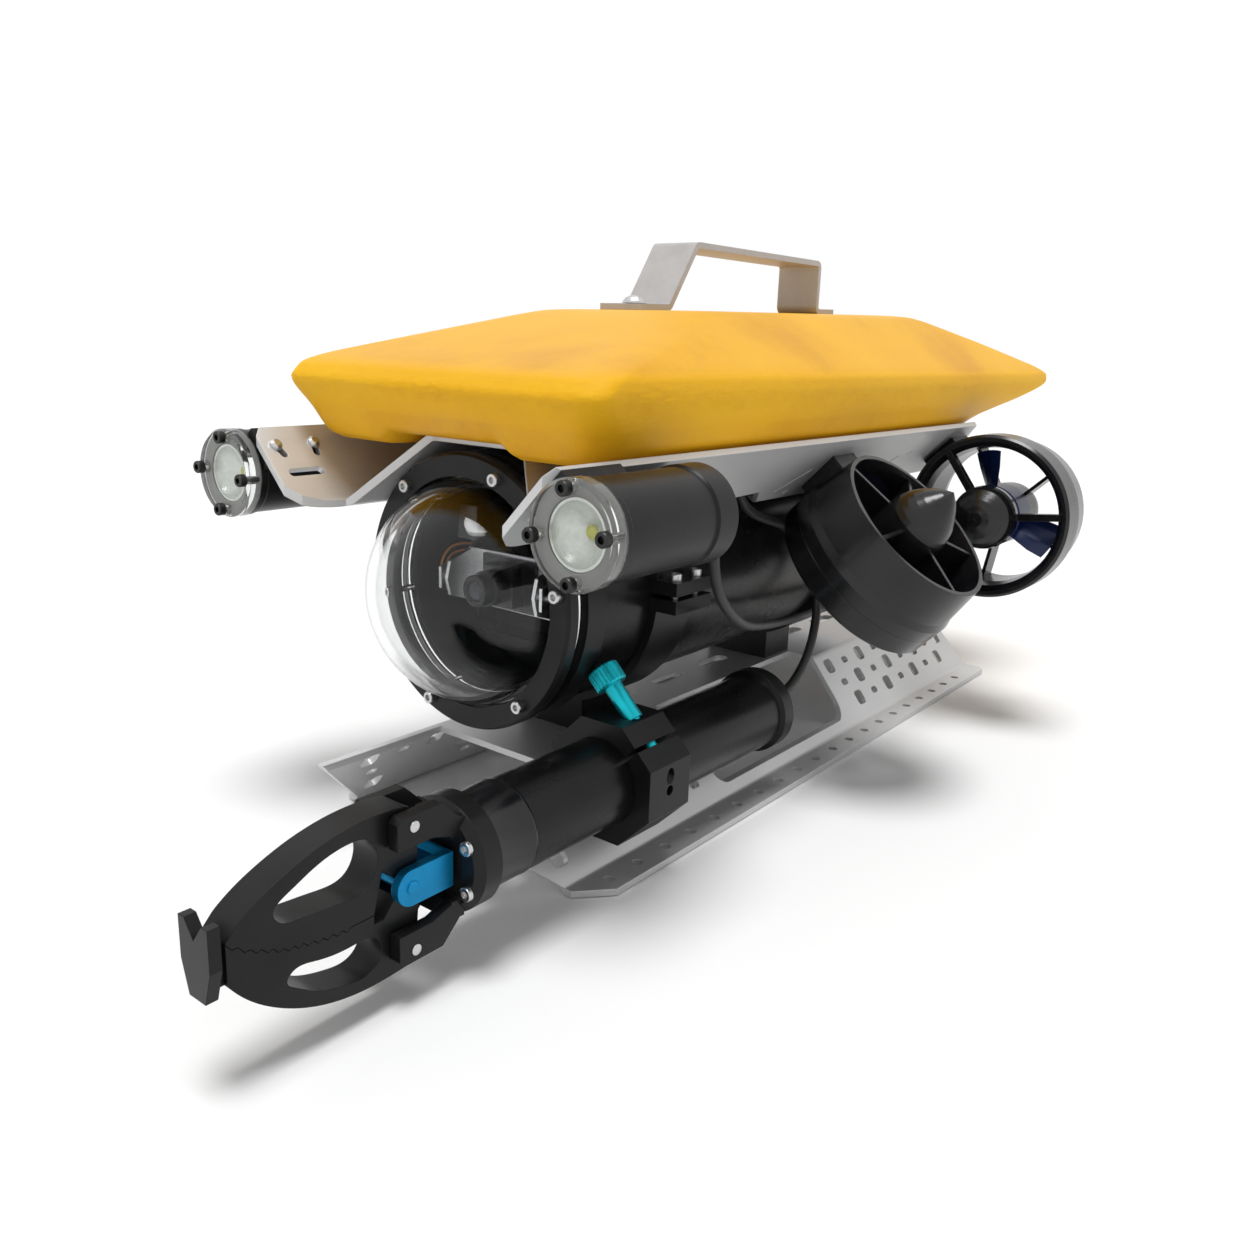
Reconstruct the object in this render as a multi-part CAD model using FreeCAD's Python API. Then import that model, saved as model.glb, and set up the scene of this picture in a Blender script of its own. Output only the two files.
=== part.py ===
import FreeCAD, Part
import math
import os

# Underwater inspection vehicle: a watertight electronics tube with a clear dome, carried between a bent
# skid frame and a bent top frame, with a foam float, four ducted thrusters, two lamps and a gripper.
# Millimetres. +X is forward, +Y is port, +Z is up. The feet stand on Z = 0.

V = FreeCAD.Vector

# ---- running clearances and common fits -------------------------------------------------------------
GAP = 0.3              # air between parts that only lie beside each other
FIT = 0.05             # radial running fit of a pin or shaft

# ---- watertight enclosure ---------------------------------------------------------------------------
RING_X = 152.95        # front face of the dome retainer ring
TUBE_R = 57.0
TUBE_WALL = 6.0
TUBE_LENGTH = 268.0
FLANGE_RIM = 3.0       # tube wall to the flange rim
FLANGE_T = 12.0
SPIGOT_LENGTH = 24.0
SPIGOT_WALL = 7.0
SEAL_SECTION = 2.6
DOME_INSET = 7.0       # tube wall to the dome's outer face
DOME_WALL = 4.0
DOME_RIM_T = 6.0
DOME_RIM_WIDTH = 6.0
RETAINER_T = 6.0
COVER_SCREWS = 6
COVER_SCREW_INSET = 5.5
COVER_SCREW_TURN = 8.8
M3_R = 1.5
M3_HEAD_R = 2.75
M3_HEAD_T = 3.0
END_CAP_T = 8.0
GLAND_R = 7.0
GLAND_LENGTH = 16.0

# ---- enclosure clamps -------------------------------------------------------------------------------
CLAMP_WALL = 4.0
CLAMP_WIDTH = 27.0
CLAMP_FOOT = 16.6      # tube wall to skid plate
CLAMP_FOOT_HALF = 20.0
CLAMP_EAR = 14.0
CLAMP_EAR_T = 6.0
CLAMP_SPLIT = 2.0
CLAMP_FRONT_BACK = 71.0    # retainer ring face to the middle of the front clamp
CLAMP_REAR_AHEAD = 52.0    # tube's rear end to the middle of the rear clamp
CLAMP_CROWN_HALF = 15.0
CLAMP_SCREW_PITCH = 15.0

# ---- bent sheet frames ------------------------------------------------------------------------------
SHEET = 3.0
BEND_R = 2.5
LEG_RISE = 37.4
LEG_SPREAD = 29.8
PLATE_HALF = 38.8
FOOT_WIDTH = 15.4
SKID_FRONT = 50.0      # distances forward of the ring face
SKID_REAR = -428.0
SKID_TOE = 8.0
SKID_HEEL = -418.0
PLATE_FRONT = -18.0
STRIP_WIDTH = 5.0
FOOT_HOLE_R = 2.5
FOOT_HOLE_PITCH = 20.0
FOOT_HOLES = 20
FOOT_HOLE_FIRST = -30.5
LEG_PITCH = 20.0
SQUARE_HOLE = 9.0
OVAL_LENGTH = 7.0
OVAL_WIDTH = 4.0
WINDOW_FRONT = -112.0
WINDOW_REAR = -250.0
WINDOW_SILL = 5.0      # leg left standing below the window
WINDOW_PLATE_HALF = 23.0
CROWN_GAP = 0.7        # clamp rim to the inner face of the slope
CROWN_RISE = 5.3       # tube wall to the underside of the crown
SLOPE_ANGLE = 47.5
VALLEY_DROP = 32.3
WING_ANGLE = 46.4
WING_LENGTH = 45.9
CROWN_FRONT = -8.0
WING_FRONT = 42.0
TOP_REAR = -365.0

# ---- float ------------------------------------------------------------------------------------------
FLOAT_HEIGHT = 55.0
FLOAT_BELLY = 20.0     # height of the widest line above the float's base
FLOAT_SHOULDER = 29.0
FLOAT_HALF = 91.0
FLOAT_BASE_HALF = 84.0
FLOAT_TOP_HALF = 50.0
FLOAT_TOP_TILT = 6.0    # rise of the top from its front edge to its rear edge
FLOAT_NOSE = 25.0
FLOAT_BASE_FRONT = 12.0
FLOAT_BASE_REAR = -348.0
FLOAT_TAIL = -474.6
FLOAT_TOP_FRONT = -88.0
FLOAT_TOP_REAR = -335.0
FLOAT_ROUND = 9.0
KEEL_DEPTH = 5.0

# ---- carry handle -----------------------------------------------------------------------------------
HANDLE_WIDTH = 26.0
HANDLE_T = 3.0
HANDLE_RISE = 31.0
HANDLE_FRONT = -103.0
HANDLE_FOOT = 22.0
HANDLE_LEAN = 21.0
HANDLE_REAR_BEHIND = 29.0    # middle of the rear clamp to the handle's rear leg
HANDLE_HOLE_INSET = 10.0
M6_R = 3.0
M6_HEAD_R = 6.0
M6_HEAD_T = 3.6
M6_NUT_R = 5.8
M6_NUT_T = 3.0

# ---- lamps ------------------------------------------------------------------------------------------
LAMP_R = 19.3
LAMP_CAN_R = 18.4
LAMP_FACE = 48.0
LAMP_LENS_T = 7.0
LAMP_LENGTH = 73.0
LAMP_CAP_T = 13.0
LAMP_GLAND = 7.0
LAMP_SEAT = 2.4
LAMP_ALONG = 41.0
LAMP_SLOTS = ((34.5, 70.0), (16.0, 100.0))    # forward of the ring face, turn
LAMP_SLOT_DROP = 7.0   # lamp's axis to the middle of the slots, down the wing
LAMP_SCREW_UP = 2.1    # middle of a slot to its screw, along the slot
LAMP_SCREW_CIRCLE = 15.9
LAMP_BOWL_R = 12.5
LAMP_BOWL_DEPTH = 9.0
PAN_HEAD_R = 3.0
PAN_HEAD_T = 2.2

# ---- thrusters --------------------------------------------------------------------------------------
DUCT_R = 47.5
DUCT_EXIT_R = 43.3
DUCT_BORE = 39.6
DUCT_LENGTH = 44.0
DUCT_SEAT = 3.5        # duct rim to the wing sheet
GUARD_T = 12.0
GUARD_SPOKES = 3
NOSE_R = 18.5
NOSE_LENGTH = 16.0
NOSE_TAIL = 5.0
PROP_R = 38.0
PROP_BLADES = 3
PROP_HUB_R = 18.0
PROP_HUB_LENGTH = 20.0
BLADE_PITCH_ROOT = 52.0
BLADE_PITCH_TIP = 30.0
BLADE_T = 2.4
SHAFT_R = 2.5
MOTOR_R = 17.0
VANES = 5
VANE_T = 2.0
TAIL_LENGTH = 23.5
LIFT_THRUSTER_X = -185.0
LIFT_THRUSTER_ALONG = -1.5    # intake face, measured along the wing from the valley
DRIVE_THRUSTER_X = -310.0     # intake face
DRIVE_THRUSTER_ALONG = 26.0

# ---- gripper ----------------------------------------------------------------------------------------
GRIP_OUT = 28.7        # edge of the skid plate to the gripper's axis
GRIP_ABOVE = 3.4       # top of the skid plate to the gripper's axis
GRIP_R = 18.6
GRIP_WALL = 2.5
GRIP_TUBE_FRONT = 66.0
GRIP_TUBE_REAR = -128.0
GRIP_HEAD_R = 21.5
GRIP_HEAD_T = 11.0
GRIP_CAP_T = 12.0
GRIP_GLAND = 8.0
YOKE_HALF = 11.5
YOKE_PLATE = 4.6
YOKE_RISE = 22.5
YOKE_REACH = 24.0
JAW_T = 12.4
JAW_LENGTH = 68.0
JAW_GAP = 0.15
TOOTH_PITCH = 3.2
TOOTH_DEPTH = 1.3
PIN_R = 2.0
HOOK_T = 4.0
GRIP_CLAMP_FRONT = -13.0
GRIP_CLAMP_WIDTH = 28.0
GRIP_CLAMP_HALF = 26.0
GRIP_CLAMP_SLIT = 2.0
THUMB_R = 2.5
THUMB_SLEEVE_R = 4.0
THUMB_SLEEVE = 17.0
THUMB_HEAD_R = 7.0
THUMB_HEAD_T = 9.0

# ---- inside the enclosure ---------------------------------------------------------------------------
TRAY_HALF = 40.0
TRAY_T = 3.0
TILT_BACK = 20.0       # ring face to the camera's tilt axis
CAMERA_INSET = 21.0    # tube bore to the camera's side brackets
TRAY_BACK = 58.0       # ring face to the tray's front bulkhead

# ---- cables -----------------------------------------------------------------------------------------
CABLE_R = 2.3

# ---- derived places ---------------------------------------------------------------------------------
AXIS_Z = SHEET + LEG_RISE + CLAMP_FOOT + TUBE_R
PLATE_Z = SHEET + LEG_RISE
DOME_CENTRE_X = RING_X - RETAINER_T - DOME_RIM_T
FLANGE_X = DOME_CENTRE_X - FLANGE_T
TUBE_REAR_X = FLANGE_X - TUBE_LENGTH
REAR_FLANGE_X = TUBE_REAR_X - FLANGE_T
END_CAP_X = REAR_FLANGE_X - END_CAP_T
TUBE_BORE = TUBE_R - TUBE_WALL
FLANGE_R = TUBE_R + FLANGE_RIM
DOME_R = TUBE_R - DOME_INSET
CLAMP_REAR_BACK = RING_X - TUBE_REAR_X - CLAMP_REAR_AHEAD
HANDLE_REAR_LEG = -CLAMP_REAR_BACK - HANDLE_REAR_BEHIND
CAMERA_SIDE = TUBE_BORE - CAMERA_INSET
TRAY_FRONT_X = RING_X - TRAY_BACK
TRAY_REAR_X = TUBE_REAR_X + SPIGOT_LENGTH + 6.0
CLAMP_R = TUBE_R + CLAMP_WALL
SLOPE_SIN = math.sin(math.radians(SLOPE_ANGLE))
SLOPE_COS = math.cos(math.radians(SLOPE_ANGLE))
CROWN_UNDER = TUBE_R + CROWN_RISE
CROWN_HALF = (CLAMP_R + CROWN_GAP - CROWN_UNDER * SLOPE_COS) / SLOPE_SIN
VALLEY_UNDER = CROWN_UNDER - VALLEY_DROP
VALLEY_Y = (CLAMP_R + CROWN_GAP - VALLEY_UNDER * SLOPE_COS) / SLOPE_SIN
WING_COS = math.cos(math.radians(WING_ANGLE))
WING_SIN = math.sin(math.radians(WING_ANGLE))
CROWN_Z = AXIS_Z + CROWN_UNDER + SHEET
FLOAT_TOP_Z = CROWN_Z + FLOAT_HEIGHT
GRIP_Y = PLATE_HALF + GRIP_OUT
GRIP_Z = PLATE_Z + GRIP_ABOVE


# ---- small helpers ----------------------------------------------------------------------------------
def box(x0, x1, y0, y1, z0, z1):
    """A block between two corners."""
    return Part.makeBox(x1 - x0, y1 - y0, z1 - z0, V(x0, y0, z0))


def rod(x, y, z, radius, length, axis=V(1, 0, 0)):
    """A solid cylinder from a point along an axis."""
    return Part.makeCylinder(radius, length, V(x, y, z), axis)


def prism(points, path):
    """A closed outline of 3-D points carried along a straight path."""
    outline = Part.makePolygon(points + [points[0]])
    return Part.Face(outline).extrude(path)


def curved_prism(curve, corners, path):
    """A smooth curve through some points, closed by straight lines over the corners, carried along a path."""
    spline = Part.BSplineCurve()
    if not corners:
        spline.interpolate(Points=curve, PeriodicFlag=True)
        return Part.Face(Part.Wire([spline.toShape()])).extrude(path)
    spline.interpolate(Points=curve)
    line = Part.makePolygon([curve[-1]] + corners + [curve[0]])
    return Part.Face(Part.Wire([spline.toShape()] + line.Edges)).extrude(path)


def mirrored(shape):
    """The same piece on the starboard side."""
    return shape.mirror(V(0, 0, 0), V(0, 1, 0))


def turned(profile, origin, axis):
    """A closed profile of (distance along the axis, radius) points, turned about that axis."""
    points = [V(along, 0, radius) for along, radius in profile]
    face = Part.Face(Part.makePolygon(points + [points[0]]))
    solid = face.revolve(V(0, 0, 0), V(1, 0, 0), 360)
    return placed(solid, origin, axis)


def placed(shape, origin, axis):
    """A shape made along +X, turned to point along an axis and moved to its origin."""
    moved = shape.copy()
    moved.Placement = FreeCAD.Placement(origin, FreeCAD.Rotation(V(1, 0, 0), axis))
    return moved


def fused(shapes):
    """One solid from pieces that overlap."""
    whole = shapes[0]
    if len(shapes) > 1:
        whole = shapes[0].fuse(shapes[1:])
    return whole.removeSplitter()


def around(count, first_angle=0.0):
    """Evenly spaced angles in radians."""
    return [math.radians(first_angle + 360.0 * step / count) for step in range(count)]


def offset_line(points, distance):
    """An open line of (y, z) points moved sideways to its right, with mitred corners."""
    normals = []
    for start, end in zip(points, points[1:]):
        dy, dz = end[0] - start[0], end[1] - start[1]
        size = math.hypot(dy, dz)
        normals.append((dz / size, -dy / size))
    moved = []
    for index, point in enumerate(points):
        before = normals[max(index - 1, 0)]
        after = normals[min(index, len(normals) - 1)]
        scale = distance / (1.0 + before[0] * after[0] + before[1] * after[1])
        moved.append((point[0] + (before[0] + after[0]) * scale, point[1] + (before[1] + after[1]) * scale))
    return moved


def bent_sheet(line, x0, x1):
    """A sheet folded along X: the (y, z) line is its upper face, and its bends are rounded."""
    under = offset_line(line, SHEET)
    section = [V(x0, y, z) for y, z in line + under[::-1]]
    sheet = prism(section, V(x1 - x0, 0, 0))
    for index in range(1, len(line) - 1):
        before, here, after = line[index - 1], line[index], line[index + 1]
        turn = (here[0] - before[0]) * (after[1] - here[1]) - (here[1] - before[1]) * (after[0] - here[0])
        upper_radius = BEND_R if turn > 0 else BEND_R + SHEET
        lower_radius = BEND_R + SHEET if turn > 0 else BEND_R
        sheet = round_edge(sheet, here, upper_radius)
        sheet = round_edge(sheet, under[index], lower_radius)
    return sheet


def round_edge(sheet, corner, radius):
    """Rounds the fold line that runs along X through a (y, z) corner."""
    chosen = []
    for edge in sheet.Edges:
        middle = edge.CenterOfMass
        if math.hypot(middle.y - corner[0], middle.z - corner[1]) < 0.01:
            chosen.append(edge)
    return sheet.makeFillet(radius, chosen)


def slot(length, width, depth):
    """A round-ended slot cutter about the origin, long in X, cutting along Z."""
    straight = length - width
    ends = [rod(side * straight / 2, 0, -depth / 2, width / 2, depth, V(0, 0, 1)) for side in (-1, 1)]
    return fused([box(-straight / 2, straight / 2, -width / 2, width / 2, -depth / 2, depth / 2)] + ends)


def rounded_square(size, depth):
    """A square cutter with round corners about the origin, cutting along Z."""
    block = box(-size / 2, size / 2, -size / 2, size / 2, -depth / 2, depth / 2)
    upright = [edge for edge in block.Edges if abs(edge.tangentAt(edge.FirstParameter).z) > 0.9]
    return block.makeFillet(size * 0.28, upright)


def wing_point(along, out):
    """(y, z) of a point on the port wing: along it from the valley, and out from its lower face."""
    y = VALLEY_Y + along * WING_COS + out * WING_SIN
    z = AXIS_Z + VALLEY_UNDER + along * WING_SIN - out * WING_COS
    return y, z


def on_wing(cutter, x, along, out=-SHEET / 2, turn=0.0):
    """Lays a cutter that cuts along Z square to the port wing."""
    tilt = FreeCAD.Rotation(V(1, 0, 0), WING_ANGLE).multiply(FreeCAD.Rotation(V(0, 0, 1), turn))
    y, z = wing_point(along, out)
    laid = cutter.copy()
    laid.Placement = FreeCAD.Placement(V(x, y, z), tilt)
    return laid


def on_leg(cutter, x, down):
    """Lays a cutter that cuts along Z square to the port leg, a distance down its slope."""
    slant = math.degrees(math.atan2(LEG_RISE, LEG_SPREAD))
    length = math.hypot(LEG_RISE, LEG_SPREAD)
    y = PLATE_HALF + LEG_SPREAD * down / length
    z = PLATE_Z - LEG_RISE * down / length
    laid = cutter.copy()
    laid.Placement = FreeCAD.Placement(V(x, y, z), FreeCAD.Rotation(V(1, 0, 0), -slant))
    return laid


def screw(origin, axis, radius, length, head_radius, head_t, socket=True):
    """A cap screw: the head stands on the origin against the axis, and the shank follows the axis."""
    head = turned([(-head_t, 0), (-head_t, head_radius * 0.9), (-head_t * 0.85, head_radius),
                   (0, head_radius), (0, radius), (length, radius), (length, 0)], origin, axis)
    if not socket:
        return head
    recess = placed(Part.makeCylinder(head_radius * 0.5, head_t * 1.2, V(-head_t * 1.6, 0, 0), V(1, 0, 0)),
                    origin, axis)
    return head.cut(recess)


# ---- frames -----------------------------------------------------------------------------------------
def clamp_stations():
    """X of the middle of each enclosure clamp."""
    return [RING_X - CLAMP_FRONT_BACK, RING_X - CLAMP_REAR_BACK]


def clamp_holes(z0, z1, half):
    """Cutters for the screws that hold both clamps to a plate."""
    holes = []
    for x in clamp_stations():
        for side in (-1, 1):
            holes.append(rod(x, side * half, z0, M3_R + FIT, z1 - z0, V(0, 0, 1)))
    return holes


def bottom_frame():
    """Skid frame: a flat plate, two sloping pierced legs and two feet, folded from one sheet."""
    line = [(-PLATE_HALF - LEG_SPREAD - FOOT_WIDTH, SHEET), (-PLATE_HALF - LEG_SPREAD, SHEET),
            (-PLATE_HALF, PLATE_Z), (PLATE_HALF, PLATE_Z),
            (PLATE_HALF + LEG_SPREAD, SHEET), (PLATE_HALF + LEG_SPREAD + FOOT_WIDTH, SHEET)]
    x_front, x_rear = RING_X + SKID_FRONT, RING_X + SKID_REAR
    sheet = bent_sheet(line, x_rear, x_front)
    wide = line[-1][0] + 1
    foot_y = PLATE_HALF + LEG_SPREAD
    inner = PLATE_HALF - STRIP_WIDTH
    cutters = [box(RING_X + PLATE_FRONT, x_front + 1, -inner, inner, PLATE_Z - 2 * SHEET, PLATE_Z + SHEET)]
    cutters.append(prism([V(x_front, -wide, PLATE_Z + SHEET), V(x_front, -wide, PLATE_Z),
                          V(RING_X + SKID_TOE, -wide, SHEET), V(RING_X + SKID_TOE, -wide, -SHEET),
                          V(x_front + 1, -wide, -SHEET), V(x_front + 1, -wide, PLATE_Z + SHEET)],
                         V(0, 2 * wide, 0)))
    cutters.append(prism([V(RING_X + SKID_HEEL, -wide, PLATE_Z + SHEET), V(x_rear, -wide, SHEET),
                          V(x_rear - 1, -wide, SHEET), V(x_rear - 1, -wide, PLATE_Z + SHEET)],
                         V(0, 2 * wide, 0)))
    for side in (-1, 1):
        toe = [V(RING_X + SKID_TOE + 1, side * (foot_y + 2), -1), V(RING_X + SKID_TOE + 1, side * wide, -1),
               V(RING_X + SKID_TOE - FOOT_WIDTH, side * wide, -1)]
        cutters.append(prism(toe, V(0, 0, 2 * SHEET)))
        heel = [V(x_rear - 1, side * (wide - 6), -1), V(x_rear - 1, side * wide, -1),
                V(x_rear + 6, side * wide, -1)]
        cutters.append(prism(heel, V(0, 0, 2 * SHEET)))
        for step in range(FOOT_HOLES):
            x = RING_X + FOOT_HOLE_FIRST - step * FOOT_HOLE_PITCH + FOOT_HOLE_PITCH
            cutters.append(rod(x, side * (foot_y + FOOT_WIDTH / 2), -1, FOOT_HOLE_R, 2 * SHEET, V(0, 0, 1)))
    for side in (-1, 1):
        y0, y1 = sorted([side * WINDOW_PLATE_HALF, side * wide])
        window = box(RING_X + WINDOW_REAR, RING_X + WINDOW_FRONT, y0, y1,
                     SHEET + WINDOW_SILL, PLATE_Z + SHEET)
        low = [edge for edge in window.Edges
               if abs(edge.tangentAt(edge.FirstParameter).y) > 0.9 and edge.CenterOfMass.z < PLATE_Z]
        cutters.append(window.makeFillet((LEG_RISE - WINDOW_SILL) * 0.3, low))
    port = leg_piercings()
    cutters += port + [mirrored(cut) for cut in port]
    cutters += clamp_holes(PLATE_Z - 2 * SHEET, PLATE_Z + SHEET, CLAMP_FOOT_HALF - 5)
    for step in range(6):
        x = RING_X - 110.0 - 45.0 * step
        cutters.append(moved(slot(26.0, 8.0, 4 * SHEET), x, 0, PLATE_Z))
    for x_screw in grip_foot_screws():
        hole = rod(0, 0, -3 * SHEET, M3_R + FIT, 6 * SHEET, V(0, 0, 1))
        cutters.append(on_leg(hole, x_screw, grip_foot_down()))
    return sheet.cut(cutters)


def moved(shape, x, y, z):
    """A copy of a shape shifted from the origin."""
    copy = shape.copy()
    copy.translate(V(x, y, z))
    return copy


def leg_piercings():
    """Rows of rounded squares and small ovals on the port leg, each row half a step from the next."""
    length = math.hypot(LEG_RISE, LEG_SPREAD)
    rows = [length * share for share in (0.20, 0.46, 0.72)]
    reach = SQUARE_HOLE / 2 + 3
    cuts = []
    count = int((SKID_FRONT - SKID_REAR) / LEG_PITCH)
    for row, down in enumerate(rows):
        front = SKID_FRONT + (SKID_TOE - SKID_FRONT) * down / length - reach - 3
        rear = SKID_HEEL + (SKID_REAR - SKID_HEEL) * down / length + reach + 3
        for step in range(count):
            x = SKID_FRONT - 12.0 - (step + row * 0.35) * LEG_PITCH
            if x > front or x < rear:
                continue
            if WINDOW_REAR - reach < x < WINDOW_FRONT + reach:
                continue
            if row > 0 and grip_clamp_covers(x, reach):
                continue
            if (step + row) % 2:
                cutter = rounded_square(SQUARE_HOLE, 5 * SHEET)
            else:
                cutter = slot(OVAL_LENGTH, OVAL_WIDTH, 5 * SHEET)
            cuts.append(on_leg(cutter, RING_X + x, down))
    return cuts


def grip_clamp_covers(x, margin):
    """True where the gripper clamp's foot stands on the leg, so the sheet stays whole there."""
    return GRIP_CLAMP_FRONT - GRIP_CLAMP_WIDTH - margin < x < GRIP_CLAMP_FRONT + margin


def top_line():
    """The (y, z) line of the top frame's upper face, from the starboard wing tip to the port one."""
    tip_y = VALLEY_Y + WING_LENGTH * WING_COS
    tip_z = VALLEY_UNDER + WING_LENGTH * WING_SIN
    half = [(CROWN_HALF, CROWN_UNDER), (VALLEY_Y, VALLEY_UNDER), (tip_y, tip_z)]
    under = [(-y, z) for y, z in half[::-1]] + half
    lifted = offset_line(under, -SHEET)
    return [(y, z + AXIS_Z) for y, z in lifted]


def top_frame():
    """Top frame: a crown over the tube, two valleys and two wings that carry lamps and thrusters."""
    line = top_line()
    x_front, x_rear = RING_X + WING_FRONT, RING_X + TOP_REAR
    sheet = bent_sheet(line, x_rear, x_front)
    top, low = line[-1][1] + 5, AXIS_Z + VALLEY_UNDER - 5
    tip = line[-1][0] + 5
    cutters = []
    for side in (-1, 1):
        outline = [(0, CROWN_FRONT), (CROWN_HALF, CROWN_FRONT), (VALLEY_Y - 1, CROWN_FRONT + 25),
                   (VALLEY_Y + 4, WING_FRONT - 6), (VALLEY_Y + 8, WING_FRONT), (VALLEY_Y + 8, WING_FRONT + 1),
                   (0, WING_FRONT + 1)]
        cutters.append(prism([V(RING_X + x, side * y, low) for y, x in outline], V(0, 0, top - low)))
        corner = [(tip, WING_FRONT + 1), (tip, WING_FRONT - 9), (tip - 9, WING_FRONT + 1)]
        cutters.append(prism([V(RING_X + x, side * y, low) for y, x in corner], V(0, 0, top - low)))
        tail = [(VALLEY_Y + 6, TOP_REAR - 1), (tip, TOP_REAR + 22), (tip, TOP_REAR - 1)]
        cutters.append(prism([V(RING_X + x, side * y, low) for y, x in tail], V(0, 0, top - low)))
    port = wing_cutters()
    cutters += port + [mirrored(cut) for cut in port]
    cutters += clamp_holes(CROWN_Z - 2 * SHEET, CROWN_Z + SHEET, CLAMP_CROWN_HALF - 5)
    for x in handle_bolt_places():
        cutters.append(rod(x, 0, CROWN_Z - 2 * SHEET, M6_R + FIT, 4 * SHEET, V(0, 0, 1)))
    return sheet.cut(cutters)


def wing_cutters():
    """Adjusting slots for the lamp, the cable notch, the piercings and the screw holes of the port wing."""
    deep = 4 * SHEET
    cuts = [on_wing(slot(10.0, 2 * M3_R + 0.4, deep), RING_X + x, LAMP_ALONG - LAMP_SLOT_DROP, turn=turn)
            for x, turn in LAMP_SLOTS]
    cuts.append(on_wing(slot(18.0, 4.0, deep), RING_X + 27.0, LAMP_ALONG - 20))
    notch = [(-98.0, -4.0), (-99.0, 5.0), (-106.0, 11.5), (-131.0, 12.5), (-145.5, -4.0)]
    outline = [V(x, y, -deep / 2) for x, y in notch]
    cuts.append(on_wing(prism(outline, V(0, 0, deep)), RING_X, 0.0))
    cuts.append(on_wing(slot(9.0, 3.5, deep), RING_X - 90.0, 9.0, turn=35.0))
    for x in (-156.0, -258.0):
        cuts.append(on_wing(slot(24.0, 1.8, deep), RING_X + x, 18.0, turn=140.0))
        cuts.append(on_wing(slot(4.0, 1.8, deep), RING_X + x - 4.0, 9.0, turn=140.0))
        cuts.append(on_wing(slot(5.0, 1.8, deep), RING_X + x - 20.0, 27.0, turn=140.0))
    for x, along, turn in thruster_seats():
        for dx, ds in seat_screws(turn):
            cuts.append(on_wing(rod(0, 0, -deep / 2, M3_R + 0.2, deep, V(0, 0, 1)), x + dx, along + ds))
    return cuts


# ---- enclosure --------------------------------------------------------------------------------------
def cover_screw_points():
    """(y, z) of the screws round an end of the enclosure."""
    circle = FLANGE_R - COVER_SCREW_INSET
    angles = around(COVER_SCREWS, COVER_SCREW_TURN)
    return [(circle * math.cos(a), AXIS_Z + circle * math.sin(a)) for a in angles]


def axial_holes(x0, x1, radius):
    """Cutters along X on the cover screw circle."""
    return [rod(x0, y, z, radius, x1 - x0) for y, z in cover_screw_points()]


def enclosure_tube():
    """Black anodised pressure tube."""
    outer = rod(TUBE_REAR_X, 0, AXIS_Z, TUBE_R, TUBE_LENGTH)
    return outer.cut(rod(TUBE_REAR_X - 1, 0, AXIS_Z, TUBE_BORE, TUBE_LENGTH + 2))


def seal_flange(x, axis):
    """A flange whose grooved spigot plugs one end of the tube; the flange stands from x against the axis."""
    spigot = TUBE_BORE - FIT
    groove = SEAL_SECTION * 0.75
    start = 4.0
    profile = [(-FLANGE_T, FLANGE_R), (0, FLANGE_R), (0, spigot)]
    for ring in range(2):
        begin = start + ring * (SEAL_SECTION + 5.0)
        profile += [(begin, spigot), (begin, spigot - groove), (begin + SEAL_SECTION, spigot - groove),
                    (begin + SEAL_SECTION, spigot)]
    profile += [(SPIGOT_LENGTH, spigot), (SPIGOT_LENGTH, spigot - SPIGOT_WALL),
                (-FLANGE_T, spigot - SPIGOT_WALL)]
    return turned(profile, V(x, 0, AXIS_Z), axis)


def enclosure_seals():
    """Four O-rings of the two spigots, as plain square rings that fill their grooves."""
    spigot = TUBE_BORE - FIT
    rings = []
    for x, way in ((FLANGE_X, -1), (TUBE_REAR_X, 1)):
        for ring in range(2):
            begin = 4.0 + ring * (SEAL_SECTION + 5.0)
            rings.append(turned([(begin + 0.1, spigot - SEAL_SECTION * 0.75 + 0.02), (begin + 0.1, spigot),
                                 (begin + SEAL_SECTION - 0.1, spigot),
                                 (begin + SEAL_SECTION - 0.1, spigot - SEAL_SECTION * 0.75 + 0.02)],
                                V(x, 0, AXIS_Z), V(way, 0, 0)))
    return rings


def viewing_dome():
    """Clear half-sphere with a flat rim that the retainer ring holds."""
    inner = DOME_R - DOME_WALL
    rim = DOME_R + DOME_RIM_WIDTH
    t = DOME_RIM_T
    diagonal = math.sqrt(0.5)
    start = math.sqrt(DOME_R ** 2 - t ** 2)
    middle = math.atan2(start, t) / 2
    outer_arc = Part.Arc(V(t, 0, start), V(DOME_R * math.cos(middle), 0, DOME_R * math.sin(middle)),
                         V(DOME_R, 0, 0)).toShape()
    inner_arc = Part.Arc(V(0, 0, inner), V(inner * diagonal, 0, inner * diagonal), V(inner, 0, 0)).toShape()
    edges = [Part.LineSegment(V(0, 0, inner), V(0, 0, rim)).toShape(),
             Part.LineSegment(V(0, 0, rim), V(t, 0, rim)).toShape(),
             Part.LineSegment(V(t, 0, rim), V(t, 0, start)).toShape(), outer_arc,
             Part.LineSegment(V(DOME_R, 0, 0), V(inner, 0, 0)).toShape(), inner_arc]
    face = Part.Face(Part.Wire(Part.__sortEdges__(edges)))
    dome = face.revolve(V(0, 0, 0), V(1, 0, 0), 360)
    dome = placed(dome, V(DOME_CENTRE_X, 0, AXIS_Z), V(1, 0, 0))
    return dome.cut(axial_holes(DOME_CENTRE_X - 1, DOME_CENTRE_X + t + 1, M3_R + 0.2))


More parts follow.
